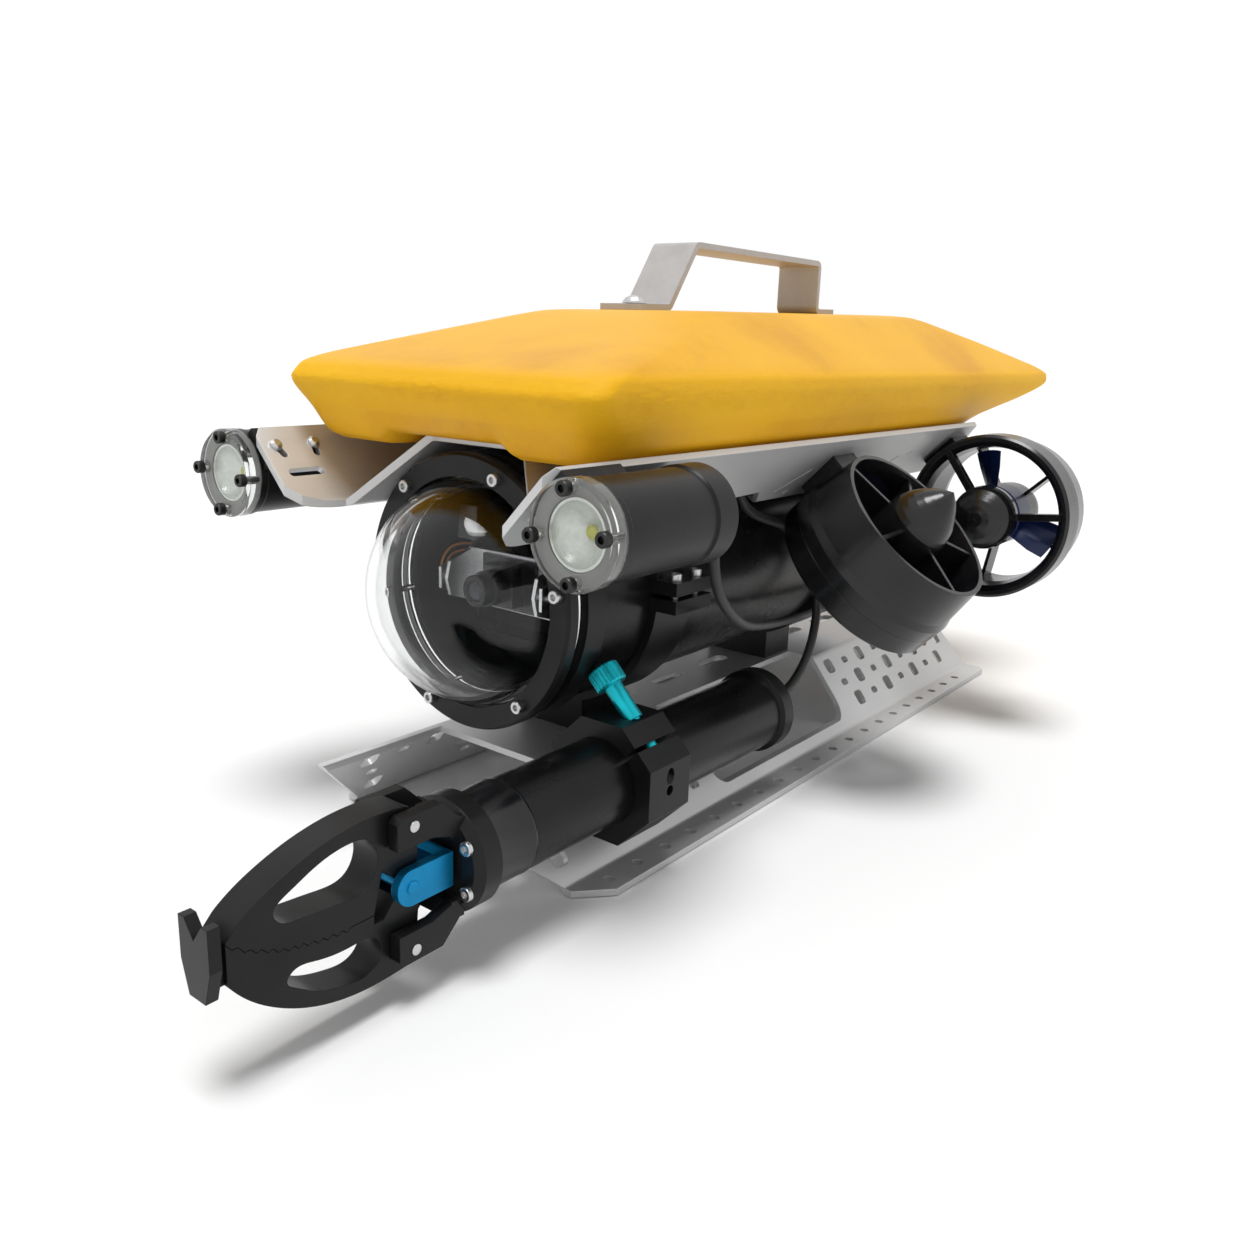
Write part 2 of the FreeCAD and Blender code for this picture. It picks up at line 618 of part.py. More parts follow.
def dome_retainer_ring():
    """Black ring that clamps the dome's rim to the front flange."""
    opening = math.sqrt(DOME_R ** 2 - DOME_RIM_T ** 2) + GAP
    bevel = 1.2
    profile = [(0, opening), (0, FLANGE_R), (RETAINER_T - bevel, FLANGE_R), (RETAINER_T, FLANGE_R - bevel),
               (RETAINER_T, opening)]
    ring = turned(profile, V(RING_X - RETAINER_T, 0, AXIS_Z), V(1, 0, 0))
    return ring.cut(axial_holes(RING_X - RETAINER_T - 1, RING_X + 1, M3_R + 0.2))


def dome_screws():
    """Six cap screws through the retainer ring, the dome's rim and the flange."""
    length = RETAINER_T + DOME_RIM_T + FLANGE_T * 0.6
    return [screw(V(RING_X, y, z), V(-1, 0, 0), M3_R, length, M3_HEAD_R, M3_HEAD_T)
            for y, z in cover_screw_points()]


def dome_flange():
    """Front flange, tapped for the dome screws."""
    flange = seal_flange(FLANGE_X, V(-1, 0, 0))
    return flange.cut(axial_holes(DOME_CENTRE_X - FLANGE_T * 0.7, DOME_CENTRE_X + 1, M3_R))


def rear_flange():
    """Rear flange, tapped for the end cap screws."""
    flange = seal_flange(TUBE_REAR_X, V(1, 0, 0))
    return flange.cut(axial_holes(REAR_FLANGE_X - 1, REAR_FLANGE_X + FLANGE_T * 0.7, M3_R))


def gland_points():
    """(y, z) of the cable glands on the rear end cap."""
    points = [(0.0, AXIS_Z)]
    points += [(33.0 * math.cos(a), AXIS_Z + 33.0 * math.sin(a)) for a in around(8, 22.5)]
    return points


def rear_end_cap():
    """Plate that closes the rear of the enclosure and carries the glands."""
    bevel = 1.0
    cap = turned([(0, 0), (0, FLANGE_R), (-END_CAP_T + bevel, FLANGE_R), (-END_CAP_T, FLANGE_R - bevel),
                  (-END_CAP_T, 0)], V(REAR_FLANGE_X, 0, AXIS_Z), V(1, 0, 0))
    cutters = axial_holes(END_CAP_X - 1, REAR_FLANGE_X + 1, M3_R + 0.2)
    cutters += [rod(END_CAP_X - 1, y, z, GLAND_R * 0.6, END_CAP_T + 2) for y, z in gland_points()]
    return cap.cut(cutters)


def rear_cap_screws():
    """Six cap screws of the rear end cap."""
    length = END_CAP_T + FLANGE_T * 0.6
    return [screw(V(END_CAP_X, y, z), V(1, 0, 0), M3_R, length, M3_HEAD_R, M3_HEAD_T)
            for y, z in cover_screw_points()]


def cable_glands():
    """Hexagonal cable glands, each with a threaded neck through the end cap."""
    glands = []
    for y, z in gland_points():
        hexagon = [V(END_CAP_X, y + GLAND_R * math.cos(a), z + GLAND_R * math.sin(a)) for a in around(6)]
        body = prism(hexagon, V(-GLAND_LENGTH * 0.5, 0, 0))
        nose = turned([(0, 0), (0, GLAND_R * 0.8), (GLAND_LENGTH * 0.4, GLAND_R * 0.62),
                       (GLAND_LENGTH * 0.5, GLAND_R * 0.5), (GLAND_LENGTH * 0.5, 0)],
                      V(END_CAP_X - GLAND_LENGTH * 0.5, y, z), V(-1, 0, 0))
        neck = rod(END_CAP_X, y, z, GLAND_R * 0.6 - FIT, END_CAP_T + 4)
        glands.append(fused([body, nose, neck]))
    return glands


# ---- clamps -----------------------------------------------------------------------------------------
def clamp_half(x, upper):
    """One half of an enclosure clamp, with ears for its joint screws and a pad towards its plate."""
    x0, x1 = x - CLAMP_WIDTH / 2, x + CLAMP_WIDTH / 2
    way = 1 if upper else -1
    ear = TUBE_R + CLAMP_EAR
    wall = rod(x0, 0, AXIS_Z, CLAMP_R, CLAMP_WIDTH)
    side_z = sorted([AXIS_Z + way * CLAMP_SPLIT / 2, AXIS_Z + way * (CLAMP_SPLIT / 2 + CLAMP_EAR_T)])
    ears = []
    for s in (-1, 1):
        side_y = sorted([s * ear, s * (TUBE_R - 2)])
        ears.append(box(x0, x1, side_y[0], side_y[1], side_z[0], side_z[1]))
    if upper:
        pad = box(x0, x1, -CLAMP_CROWN_HALF, CLAMP_CROWN_HALF, AXIS_Z + TUBE_R - 6, AXIS_Z + CROWN_UNDER)
    else:
        pad = box(x0, x1, -CLAMP_FOOT_HALF, CLAMP_FOOT_HALF, PLATE_Z, AXIS_Z - TUBE_R * 0.75)
    half = fused([wall, pad] + ears)
    far = 2 * TUBE_R
    keep = box(x0 - 1, x1 + 1, -far, far, *sorted([AXIS_Z + way * CLAMP_SPLIT / 2, AXIS_Z + way * far]))
    half = half.common(keep)
    cutters = [rod(x0 - 1, 0, AXIS_Z, TUBE_R + FIT, CLAMP_WIDTH + 2)]
    cutters += [rod(cx, cy, AXIS_Z - far, M3_R if not upper else M3_R + 0.2, 2 * far, V(0, 0, 1))
                for cx, cy in clamp_screw_points(x)]
    side = CLAMP_CROWN_HALF - 5 if upper else CLAMP_FOOT_HALF - 5
    for s in (-1, 1):
        if upper:
            cutters.append(rod(x, s * side, AXIS_Z + TUBE_R * 0.9, M3_R, TUBE_R, V(0, 0, 1)))
        else:
            cutters.append(rod(x, s * side, PLATE_Z - 1, M3_R, 11.0, V(0, 0, 1)))
    return half.cut(cutters)


def clamp_screw_points(x):
    """(x, y) of the four joint screws of a clamp."""
    y = TUBE_R + CLAMP_WALL + (CLAMP_EAR - CLAMP_WALL) / 2
    return [(x + dx * CLAMP_SCREW_PITCH / 2, s * y) for dx in (-1, 1) for s in (-1, 1)]


def clamp_screws():
    """Joint screws of both clamps and the screws that hold them to the two frames."""
    screws = []
    for x in clamp_stations():
        top = AXIS_Z + CLAMP_SPLIT / 2 + CLAMP_EAR_T
        for cx, cy in clamp_screw_points(x):
            screws.append(screw(V(cx, cy, top), V(0, 0, -1), M3_R, 2 * CLAMP_EAR_T, M3_HEAD_R, M3_HEAD_T))
        for s in (-1, 1):
            under = V(x, s * (CLAMP_FOOT_HALF - 5), PLATE_Z - SHEET)
            screws.append(screw(under, V(0, 0, 1), M3_R, SHEET + 8.0, M3_HEAD_R, M3_HEAD_T * 0.7))
    return screws


# ---- float and handle -------------------------------------------------------------------------------
def float_block():
    """Foam float: a hipped block with a raised tail, ribs that sit in the valleys and a front recess."""
    levels = [(0.0, FLOAT_BASE_REAR, FLOAT_BASE_FRONT, FLOAT_BASE_HALF),
              (FLOAT_BELLY, FLOAT_TAIL + 6.0, FLOAT_NOSE, FLOAT_HALF),
              (FLOAT_SHOULDER, FLOAT_TAIL, FLOAT_NOSE - 5.0, FLOAT_HALF - 1.5),
              (FLOAT_HEIGHT, FLOAT_TOP_REAR, FLOAT_TOP_FRONT, FLOAT_TOP_HALF)]
    wires = []
    for rise, rear, front, half in levels:
        z = CROWN_Z + rise
        z_rear = z + FLOAT_TOP_TILT if rise == FLOAT_HEIGHT else z
        corners = [V(RING_X + rear, -half, z_rear), V(RING_X + front, -half, z),
                   V(RING_X + front, half, z), V(RING_X + rear, half, z_rear)]
        wires.append(Part.makePolygon(corners + [corners[0]]))
    block = Part.makeLoft(wires, True, True)
    soft = [edge for edge in block.Edges if edge.CenterOfMass.z > CROWN_Z + 1.0]
    block = block.makeFillet(FLOAT_ROUND * 0.55, soft)
    ribs = []
    for side in (-1, 1):
        inner, outer = CROWN_HALF + SHEET + 3.0, VALLEY_Y + WING_LENGTH * WING_COS - SHEET - 5.0
        low = CROWN_Z - KEEL_DEPTH
        slope = KEEL_DEPTH * SLOPE_COS / SLOPE_SIN
        section = [V(RING_X + FLOAT_BASE_REAR + 8, side * inner, CROWN_Z + 2),
                   V(RING_X + FLOAT_BASE_REAR + 8, side * (inner + slope), low),
                   V(RING_X + FLOAT_BASE_REAR + 8, side * (outer - slope), low),
                   V(RING_X + FLOAT_BASE_REAR + 8, side * outer, CROWN_Z + 2)]
        ribs.append(prism(section, V(FLOAT_BASE_FRONT - FLOAT_BASE_REAR - 10, 0, 0)))
    block = fused([block] + ribs)
    arch = CROWN_HALF + SHEET + 2.0
    cutters = [box(RING_X + CROWN_FRONT - 2, RING_X + FLOAT_NOSE + 9, -arch, arch, CROWN_Z - 9, CROWN_Z + 3)]
    for x in handle_bolt_places():
        cutters.append(rod(x, 0, CROWN_Z - 1, M6_R + 0.3, FLOAT_HEIGHT + FLOAT_TOP_TILT + 2, V(0, 0, 1)))
    for x in clamp_stations():
        for s in (-1, 1):
            y = s * (CLAMP_CROWN_HALF - 5)
            cutters.append(rod(x, y, CROWN_Z - 1, M3_HEAD_R + 1, M3_HEAD_T + 1, V(0, 0, 1)))
    return block.cut(cutters)


def handle_bolt_places():
    """X of the two handle bolts."""
    return [RING_X + HANDLE_FRONT - HANDLE_HOLE_INSET,
            RING_X + HANDLE_REAR_LEG - HANDLE_FOOT + HANDLE_HOLE_INSET]


def roof_z(x):
    """Height of the float's gently rising top, x being measured forward of the ring face."""
    return FLOAT_TOP_Z + FLOAT_TOP_TILT * (FLOAT_TOP_FRONT - x) / (FLOAT_TOP_FRONT - FLOAT_TOP_REAR)


def carry_handle():
    """Flat strip bent to a hat shape, bolted through the float."""
    high = FLOAT_TOP_Z + HANDLE_RISE
    knee = HANDLE_FRONT - HANDLE_FOOT
    heel = HANDLE_REAR_LEG - HANDLE_FOOT
    line = [(HANDLE_FRONT, roof_z(HANDLE_FRONT)), (knee, roof_z(knee)), (knee - HANDLE_LEAN, high),
            (HANDLE_REAR_LEG, high), (HANDLE_REAR_LEG, roof_z(HANDLE_REAR_LEG)), (heel, roof_z(heel))]
    over = offset_line(line, HANDLE_T)
    outline = [V(RING_X + x, -HANDLE_WIDTH / 2, z) for x, z in line + over[::-1]]
    strip = prism(outline, V(0, HANDLE_WIDTH, 0))
    corners = {}
    for index in range(1, 5):
        outer = index in (2, 3)
        corners[line[index]] = 1.5 if outer else 1.5 + HANDLE_T
        corners[over[index]] = 1.5 + HANDLE_T if outer else 1.5
    for (x, z), radius in corners.items():
        chosen = [edge for edge in strip.Edges
                  if math.hypot(edge.CenterOfMass.x - RING_X - x, edge.CenterOfMass.z - z) < 0.01]
        strip = strip.makeFillet(radius, chosen)
    holes = [rod(x, 0, FLOAT_TOP_Z - 1, M6_R + 0.3, FLOAT_TOP_TILT + HANDLE_T + 2, V(0, 0, 1))
             for x in handle_bolt_places()]
    return strip.cut(holes)


def handle_bolts():
    """Two button-head bolts from the handle down through the crown, each with a thin nut below it."""
    parts = []
    under = CROWN_Z - SHEET
    for x in handle_bolt_places():
        top = roof_z(x - RING_X) + HANDLE_T + 0.2
        length = top - under + M6_NUT_T + 0.5
        profile = [(-M6_HEAD_T, 0), (-M6_HEAD_T, 2.2), (-M6_HEAD_T * 0.72, 4.4), (-M6_HEAD_T * 0.3, 5.7),
                   (0, M6_HEAD_R), (0, M6_R), (length, M6_R), (length, 0)]
        bolt = turned(profile, V(x, 0, top), V(0, 0, -1))
        parts.append(bolt.cut(rod(x, 0, top + M6_HEAD_T * 0.4, 2.0, M6_HEAD_T, V(0, 0, 1))))
        hexagon = [V(x + M6_NUT_R * math.cos(a), M6_NUT_R * math.sin(a), under) for a in around(6)]
        nut = prism(hexagon, V(0, 0, -M6_NUT_T))
        parts.append(nut.cut(rod(x, 0, under - 2 * M6_NUT_T, M6_R + FIT, 3 * M6_NUT_T, V(0, 0, 1))))
    return parts


# ---- lamps ------------------------------------------------------------------------------------------
def lamp_centre():
    """(y, z) of the port lamp's axis, seated on the wing."""
    return wing_point(LAMP_ALONG, LAMP_R + LAMP_SEAT)


def lamp_housing():
    """Black can with a thicker rear cap and a gland."""
    y, z = lamp_centre()
    back = LAMP_FACE - LAMP_LENGTH
    can = turned([(0, LAMP_R), (LAMP_CAP_T - 1, LAMP_R), (LAMP_CAP_T, LAMP_CAN_R),
                  (LAMP_LENGTH - LAMP_LENS_T - 4, LAMP_CAN_R), (LAMP_LENGTH - LAMP_LENS_T - 3, LAMP_R - 0.3),
                  (LAMP_LENGTH - LAMP_LENS_T, LAMP_R - 0.3), (LAMP_LENGTH - LAMP_LENS_T, LAMP_BOWL_R + 0.1),
                  (LAMP_LENGTH - LAMP_LENS_T - 14, LAMP_BOWL_R + 0.1), (LAMP_LENGTH - LAMP_LENS_T - 14, 0),
                  (-LAMP_GLAND, 0), (-LAMP_GLAND, 3.2), (-LAMP_GLAND + 2, 5.0), (0, 5.0)],
                 V(RING_X + back, y, z), V(1, 0, 0))
    seat = RING_X + LAMP_FACE - LAMP_LENS_T
    holes = [rod(seat - 8, y + dy, z + dz, M3_R, 20) for dy, dz in lamp_screw_offsets()]
    return can.cut(holes)


def lamp_screw_offsets():
    """(y, z) offsets of the four lens screws."""
    return [(LAMP_SCREW_CIRCLE * math.cos(a), LAMP_SCREW_CIRCLE * math.sin(a)) for a in around(4, 5.0)]


def lamp_lens():
    """Thick clear window with a bevelled rim and holes for its screws."""
    y, z = lamp_centre()
    front = RING_X + LAMP_FACE
    profile = [(0, 0), (0, LAMP_R), (LAMP_LENS_T - 1.5, LAMP_R), (LAMP_LENS_T, LAMP_R - 1.5), (LAMP_LENS_T, 0)]
    lens = turned(profile, V(front - LAMP_LENS_T, y, z), V(1, 0, 0))
    cutters = []
    for dy, dz in lamp_screw_offsets():
        cutters.append(rod(front - LAMP_LENS_T - 1, y + dy, z + dz, M3_R + 0.2, LAMP_LENS_T + 2))
    return lens.cut(cutters)


def lamp_lens_screws():
    """Four black cap screws of the lamp window."""
    y, z = lamp_centre()
    face = RING_X + LAMP_FACE
    return [screw(V(face, y + dy, z + dz), V(-1, 0, 0), M3_R, LAMP_LENS_T + 6, M3_HEAD_R, M3_HEAD_T)
            for dy, dz in lamp_screw_offsets()]


def lamp_reflector():
    """Bright bowl behind the window, with its emitter block standing in the middle."""
    y, z = lamp_centre()
    mouth = RING_X + LAMP_FACE - LAMP_LENS_T - 0.2
    steps = 6
    inner = []
    for step in range(steps + 1):
        share = step / steps
        radius = 3.0 + (LAMP_BOWL_R - 4.0) * math.sqrt(1 - (1 - share) ** 2)
        inner.append((LAMP_BOWL_DEPTH * (1 - math.sqrt(share)), radius))
    profile = [(LAMP_BOWL_DEPTH + 1.5, 0), (LAMP_BOWL_DEPTH + 1.5, LAMP_BOWL_R), (0, LAMP_BOWL_R)]
    profile += [(depth, radius) for depth, radius in inner[::-1]] + [(LAMP_BOWL_DEPTH, 0)]
    bowl = turned(profile, V(mouth, y, z), V(-1, 0, 0))
    emitter = box(mouth - LAMP_BOWL_DEPTH, mouth - LAMP_BOWL_DEPTH + 1.2, y - 2, y + 2, z - 2, z + 2)
    return [bowl, emitter]


def lamp_bracket():
    """Pad between the wing and the lamp can, curved to the can."""
    y, z = lamp_centre()
    x0, x1 = RING_X + 8.0, RING_X + 40.0
    pad = box(0, x1 - x0, -9.0, 9.0, -(LAMP_SEAT + 6.0), 0)
    pad = on_wing(pad, x0, LAMP_ALONG - 2.0, out=0.0)
    cutters = [rod(x0 - 1, y, z, LAMP_CAN_R + GAP / 6, x1 - x0 + 2)]
    cutters.append(rod(RING_X + LAMP_FACE - LAMP_LENS_T - 4.2, y, z, LAMP_R + GAP / 6, 20))
    for x, along in lamp_mount_places():
        cutters.append(on_wing(rod(0, 0, -20, M3_R, 40, V(0, 0, 1)), x, along, out=0.0))
    return pad.cut(cutters)


def lamp_mount_places():
    """(x, along the wing) of the two screws that hold a lamp's pad, each a little way up its slot."""
    places = []
    for x, turn in LAMP_SLOTS:
        lean = math.radians(turn)
        along = LAMP_ALONG - LAMP_SLOT_DROP + LAMP_SCREW_UP * math.sin(lean)
        places.append((RING_X + x + LAMP_SCREW_UP * math.cos(lean), along))
    return places


# ---- thrusters --------------------------------------------------------------------------------------
def thruster_frames():
    """Name, intake centre and flow axis of the four thrusters."""
    y, z = wing_point(LIFT_THRUSTER_ALONG, DUCT_R + DUCT_SEAT)
    dy, dz = wing_point(DRIVE_THRUSTER_ALONG, DUCT_R + DUCT_SEAT)
    frames = []
    for name, side in (("port", 1), ("starboard", -1)):
        lift = V(RING_X + LIFT_THRUSTER_X, side * y, z)
        drive = V(RING_X + DRIVE_THRUSTER_X, side * dy, dz)
        frames.append((name + "_lift", lift, V(0, side * WING_COS, WING_SIN)))
        frames.append((name + "_drive", drive, V(-1, 0, 0)))
    return frames


def thruster_seats():
    """(x, along the wing, turn) of the middle of each port thruster's seat."""
    middle = DUCT_LENGTH * 0.55
    return [(RING_X + LIFT_THRUSTER_X, LIFT_THRUSTER_ALONG + middle, 90.0),
            (RING_X + DRIVE_THRUSTER_X - middle, DRIVE_THRUSTER_ALONG, 0.0)]


def seat_screws(turn):
    """Offsets of the four screws of a thruster seat, along X and along the wing."""
    long_half, short_half = 8.0, 6.5
    if turn:
        long_half, short_half = short_half, long_half
    return [(sx * long_half, ss * short_half) for sx in (-1, 1) for ss in (-1, 1)]


def duct():
    """Duct with its guide vanes, motor base and tail cone, along +X with the intake face at the origin."""
    lip = DUCT_EXIT_R - 2.2
    shell = turned([(GUARD_T, DUCT_BORE), (GUARD_T, DUCT_R), (GUARD_T + 7, DUCT_R), (GUARD_T + 11, DUCT_R - 1.5),
                    (DUCT_LENGTH, DUCT_EXIT_R), (DUCT_LENGTH, lip), (DUCT_LENGTH - 8, DUCT_BORE)],
                   V(0, 0, 0), V(1, 0, 0))
    base_x = NOSE_TAIL + 1.0 + PROP_HUB_LENGTH + 1.0
    steps = 8
    cone = [(base_x, SHAFT_R + FIT), (base_x, MOTOR_R)]
    for step in range(steps + 1):
        share = step / steps
        radius = MOTOR_R * math.cos(share * math.pi / 2) ** 0.8
        cone.append((DUCT_LENGTH + TAIL_LENGTH * share - 2 * (1 - share), radius))
    cone += [(base_x + 14, 0), (base_x + 14, SHAFT_R + FIT)]
    base = turned(cone, V(0, 0, 0), V(1, 0, 0))
    vanes = []
    for angle in around(VANES, 20.0):
        vane = box(base_x + 2.0, DUCT_LENGTH - 2, -VANE_T / 2, VANE_T / 2, MOTOR_R - 3, DUCT_BORE + 0.8)
        vane.rotate(V(0, 0, 0), V(1, 0, 0), math.degrees(angle))
        vanes.append(vane)
    whole = fused([shell, base, duct_seat()] + vanes)
    middle = DUCT_LENGTH * 0.55
    reach = DUCT_R + DUCT_SEAT
    holes = [rod(middle + dx, dy, reach - 8, M3_R, 10, V(0, 0, 1)) for dx, dy in seat_screws(0.0)]
    return whole.cut(holes)


def duct_seat():
    """Block on the duct's side whose flat face meets the wing, before the duct is turned to its place."""
    reach = DUCT_R + DUCT_SEAT
    middle = DUCT_LENGTH * 0.55
    half_long, half_wide = 12.0, 11.0
    block = box(middle - half_long, middle + half_long, -half_wide, half_wide, DUCT_BORE + 1.0, reach)
    return block.cut(rod(-1, 0, 0, DUCT_BORE + 0.9, DUCT_LENGTH + 2))


def guard():
    """Intake ring with three spokes and a rounded nose, made like the duct."""
    flare = 4.0
    ring = turned([(0, DUCT_R - 1.5), (1.5, DUCT_R), (GUARD_T, DUCT_R), (GUARD_T, DUCT_BORE), (flare, DUCT_BORE + 1.2),
                   (0, DUCT_R - 3.8)], V(0, 0, 0), V(1, 0, 0))
    steps = 7
    profile = [(NOSE_TAIL, 0), (NOSE_TAIL, NOSE_R - 0.5)]
    for step in range(steps + 1):
        angle = math.pi / 2 * step / steps
        profile.append((-NOSE_LENGTH * math.sin(angle), NOSE_R * math.cos(angle)))
    nose = turned(profile, V(0, 0, 0), V(1, 0, 0))
    spokes = []
    for angle in around(GUARD_SPOKES, 10.0):
        spoke = box(0.5, 5.5, -2.0, 2.0, NOSE_R - 4, DUCT_BORE + 4.0)
        spoke.rotate(V(0, 0, 0), V(1, 0, 0), math.degrees(angle))
        spokes.append(spoke)
    whole = fused([ring, nose] + spokes)
    hole = rod(-NOSE_LENGTH * 0.35, 0, 0, 4.0, 40, V(0.25, 0.1, -1.0))
    return whole.cut(hole)


def propeller():
    """Three twisted blades on the motor's bell, with its shaft, made like the duct."""
    start = NOSE_TAIL + 1.0
    bell = turned([(start, 0), (start, PROP_HUB_R - 2), (start + 2, PROP_HUB_R), (start + PROP_HUB_LENGTH, PROP_HUB_R),
                   (start + PROP_HUB_LENGTH, SHAFT_R), (start + PROP_HUB_LENGTH + 13, SHAFT_R),
                   (start + PROP_HUB_LENGTH + 13, 0)], V(0, 0, 0), V(1, 0, 0))
    middle = start + PROP_HUB_LENGTH * 0.5
    blades = []
    for angle in around(PROP_BLADES, 35.0):
        sections = []
        for radius, chord, pitch in ((PROP_HUB_R - 4, 17.0, BLADE_PITCH_ROOT), (28.0, 22.0, 40.0),
                                     (PROP_R + 2, 22.0, BLADE_PITCH_TIP)):
            half, t = chord / 2, BLADE_T / 2
            corners = [(-half, 0), (-half * 0.3, t), (half * 0.5, t * 0.8), (half, 0), (half * 0.5, -t * 0.6),
                       (-half * 0.3, -t * 0.7)]
            tilt = math.radians(pitch)
            points = [V(middle + u * math.sin(tilt) + w * math.cos(tilt), u * math.cos(tilt) - w * math.sin(tilt), radius)
                      for u, w in corners]
            sections.append(Part.makePolygon(points + [points[0]]))
        blade = Part.makeLoft(sections, True, True)
        blade.rotate(V(0, 0, 0), V(1, 0, 0), math.degrees(angle))
        blades.append(blade)
    limit = rod(0, 0, 0, PROP_R, DUCT_LENGTH)
    trimmed = [blade.common(limit) for blade in blades]
    return fused([bell] + trimmed)


def thruster_turn(axis, side):
    """Rotation that points a thruster's +X along its axis and its seat at the wing."""
    seat = V(0, -side * WING_SIN, WING_COS)
    across = seat.cross(axis)
    matrix = FreeCAD.Matrix(axis.x, across.x, seat.x, 0, axis.y, across.y, seat.y, 0,
                            axis.z, across.z, seat.z, 0, 0, 0, 0, 1)
    return FreeCAD.Rotation(matrix)


def thruster_parts():
    """Every thruster piece in its place, as name and shape."""
    pieces = []
    shapes = {"duct": duct(), "guard": guard(), "propeller": propeller()}
    for name, centre, axis in thruster_frames():
        turn = thruster_turn(axis, 1 if centre.y > 0 else -1)
        for kind, shape in shapes.items():
            copy = shape.copy()
            copy.Placement = FreeCAD.Placement(centre, turn)
            pieces.append((name + "_" + kind, copy))
    return pieces


def wing_screws():
    """Pan-head screws that hold the thrusters and the lamps to the wings, on both sides."""
    port = []
    length = SHEET + 7.0
    for x, along, turn in thruster_seats():
        for dx, ds in seat_screws(turn):
            port.append(wing_screw(x + dx, along + ds, length))
    for x, along in lamp_mount_places():
        port.append(wing_screw(x, along, SHEET + LAMP_SEAT - GAP))
    return port + [mirrored(shape) for shape in port]


def wing_screw(x, along, length):
    """A pan-head screw driven outward through the port wing."""
    y, z = wing_point(along, -SHEET)
    axis = V(0, WING_SIN, -WING_COS)
    return turned([(-PAN_HEAD_T, 0), (-PAN_HEAD_T, PAN_HEAD_R * 0.55), (-PAN_HEAD_T * 0.6, PAN_HEAD_R * 0.9),
                   (0, PAN_HEAD_R), (0, M3_R - FIT), (length, M3_R - FIT), (length, 0)], V(x, y, z), axis)


# ---- gripper ----------------------------------------------------------------------------------------
def gripper_tube():
    """Actuator tube."""
    tube = rod(RING_X + GRIP_TUBE_REAR, GRIP_Y, GRIP_Z, GRIP_R, GRIP_TUBE_FRONT - GRIP_TUBE_REAR)
    return tube.cut(rod(RING_X + GRIP_TUBE_REAR - 1, GRIP_Y, GRIP_Z, GRIP_R - GRIP_WALL,
                        GRIP_TUBE_FRONT - GRIP_TUBE_REAR + 2))


def head_face_x():
    """X of the front face of the gripper's head plate."""
    return RING_X + GRIP_TUBE_FRONT + GRIP_HEAD_T


def pivot_x():
    """X of the jaw pivots."""
    return head_face_x() + YOKE_REACH - 4.0


def gripper_head():
    """Head plate with a plug in the tube and two forked yokes for the jaws."""
    bevel = 3.0
    inner = GRIP_R - GRIP_WALL - FIT
    plate = turned([(0, 0), (0, GRIP_HEAD_R), (GRIP_HEAD_T - bevel, GRIP_HEAD_R), (GRIP_HEAD_T, GRIP_HEAD_R - bevel),
                    (GRIP_HEAD_T, 0)], V(RING_X + GRIP_TUBE_FRONT, GRIP_Y, GRIP_Z), V(1, 0, 0))
    plug = rod(RING_X + GRIP_TUBE_FRONT - 14, GRIP_Y, GRIP_Z, inner, 15)
    face = head_face_x()
    yokes = []
    for way in (-1, 1):
        for side in (-1, 1):
            y0, y1 = sorted([GRIP_Y + side * YOKE_HALF, GRIP_Y + side * (YOKE_HALF - YOKE_PLATE)])
            top = YOKE_RISE + 4.2
            outline = [(face - 2, way * 11.0), (face - 2, way * 17.0), (face + 8, way * top),
                       (face + YOKE_REACH + 1, way * top), (face + YOKE_REACH + 3, way * (top - 2)),
                       (face + YOKE_REACH + 3, way * 15.5), (face + 12, way * 15.5)]
            yokes.append(prism([V(x, y0, GRIP_Z + z) for x, z in outline], V(0, y1 - y0, 0)))
    bridges = []
    for way in (-1, 1):
        z0, z1 = sorted([GRIP_Z + way * 12.0, GRIP_Z + way * 19.0])
        bridges.append(box(face - 2, face + 4, GRIP_Y - YOKE_HALF, GRIP_Y + YOKE_HALF, z0, z1))
    head = fused([plate, plug] + yokes + bridges)
    cutters = [rod(RING_X + GRIP_TUBE_FRONT - 15, GRIP_Y, GRIP_Z, 5.0 + FIT, 40)]
    for way in (-1, 1):
        cutters.append(rod(pivot_x(), GRIP_Y - 20, GRIP_Z + way * YOKE_RISE, PIN_R, 40, V(0, 1, 0)))
    for dy, dz in head_screw_offsets():
        cutters.append(rod(face - 8, GRIP_Y + dy, GRIP_Z + dz, M3_R, 10))
    return head.cut(cutters)


def head_screw_offsets():
    """(y, z) offsets of the head plate's screws."""
    return [(side * 15.6, way * 8.5) for side in (-1, 1) for way in (-1, 1)]


def gripper_head_screws():
    """Four button-head screws of the head plate."""
    screws = []
    for dy, dz in head_screw_offsets():
        origin = V(head_face_x(), GRIP_Y + dy, GRIP_Z + dz)
        screws.append(screw(origin, V(-1, 0, 0), M3_R - FIT, 7.0, 2.6, 1.8))
    return screws


def gripper_pins():
    """The two jaw pivots and the screws that hold the clamp's foot to the leg."""
    pins = []
    for way in (-1, 1):
        z = GRIP_Z + way * YOKE_RISE
        pins.append(rod(pivot_x(), GRIP_Y - YOKE_HALF - 0.4, z, PIN_R - FIT, 2 * YOKE_HALF + 0.8, V(0, 1, 0)))
    return pins


def parting_line():
    """(x, height) of the line where the closed jaws meet, from the pivots' side to the tips."""
    return [(13.0, -6.3), (22.0, -6.3), (33.0, -5.4), (47.0, -2.4), (58.0, 2.4), (66.0, 7.5)]


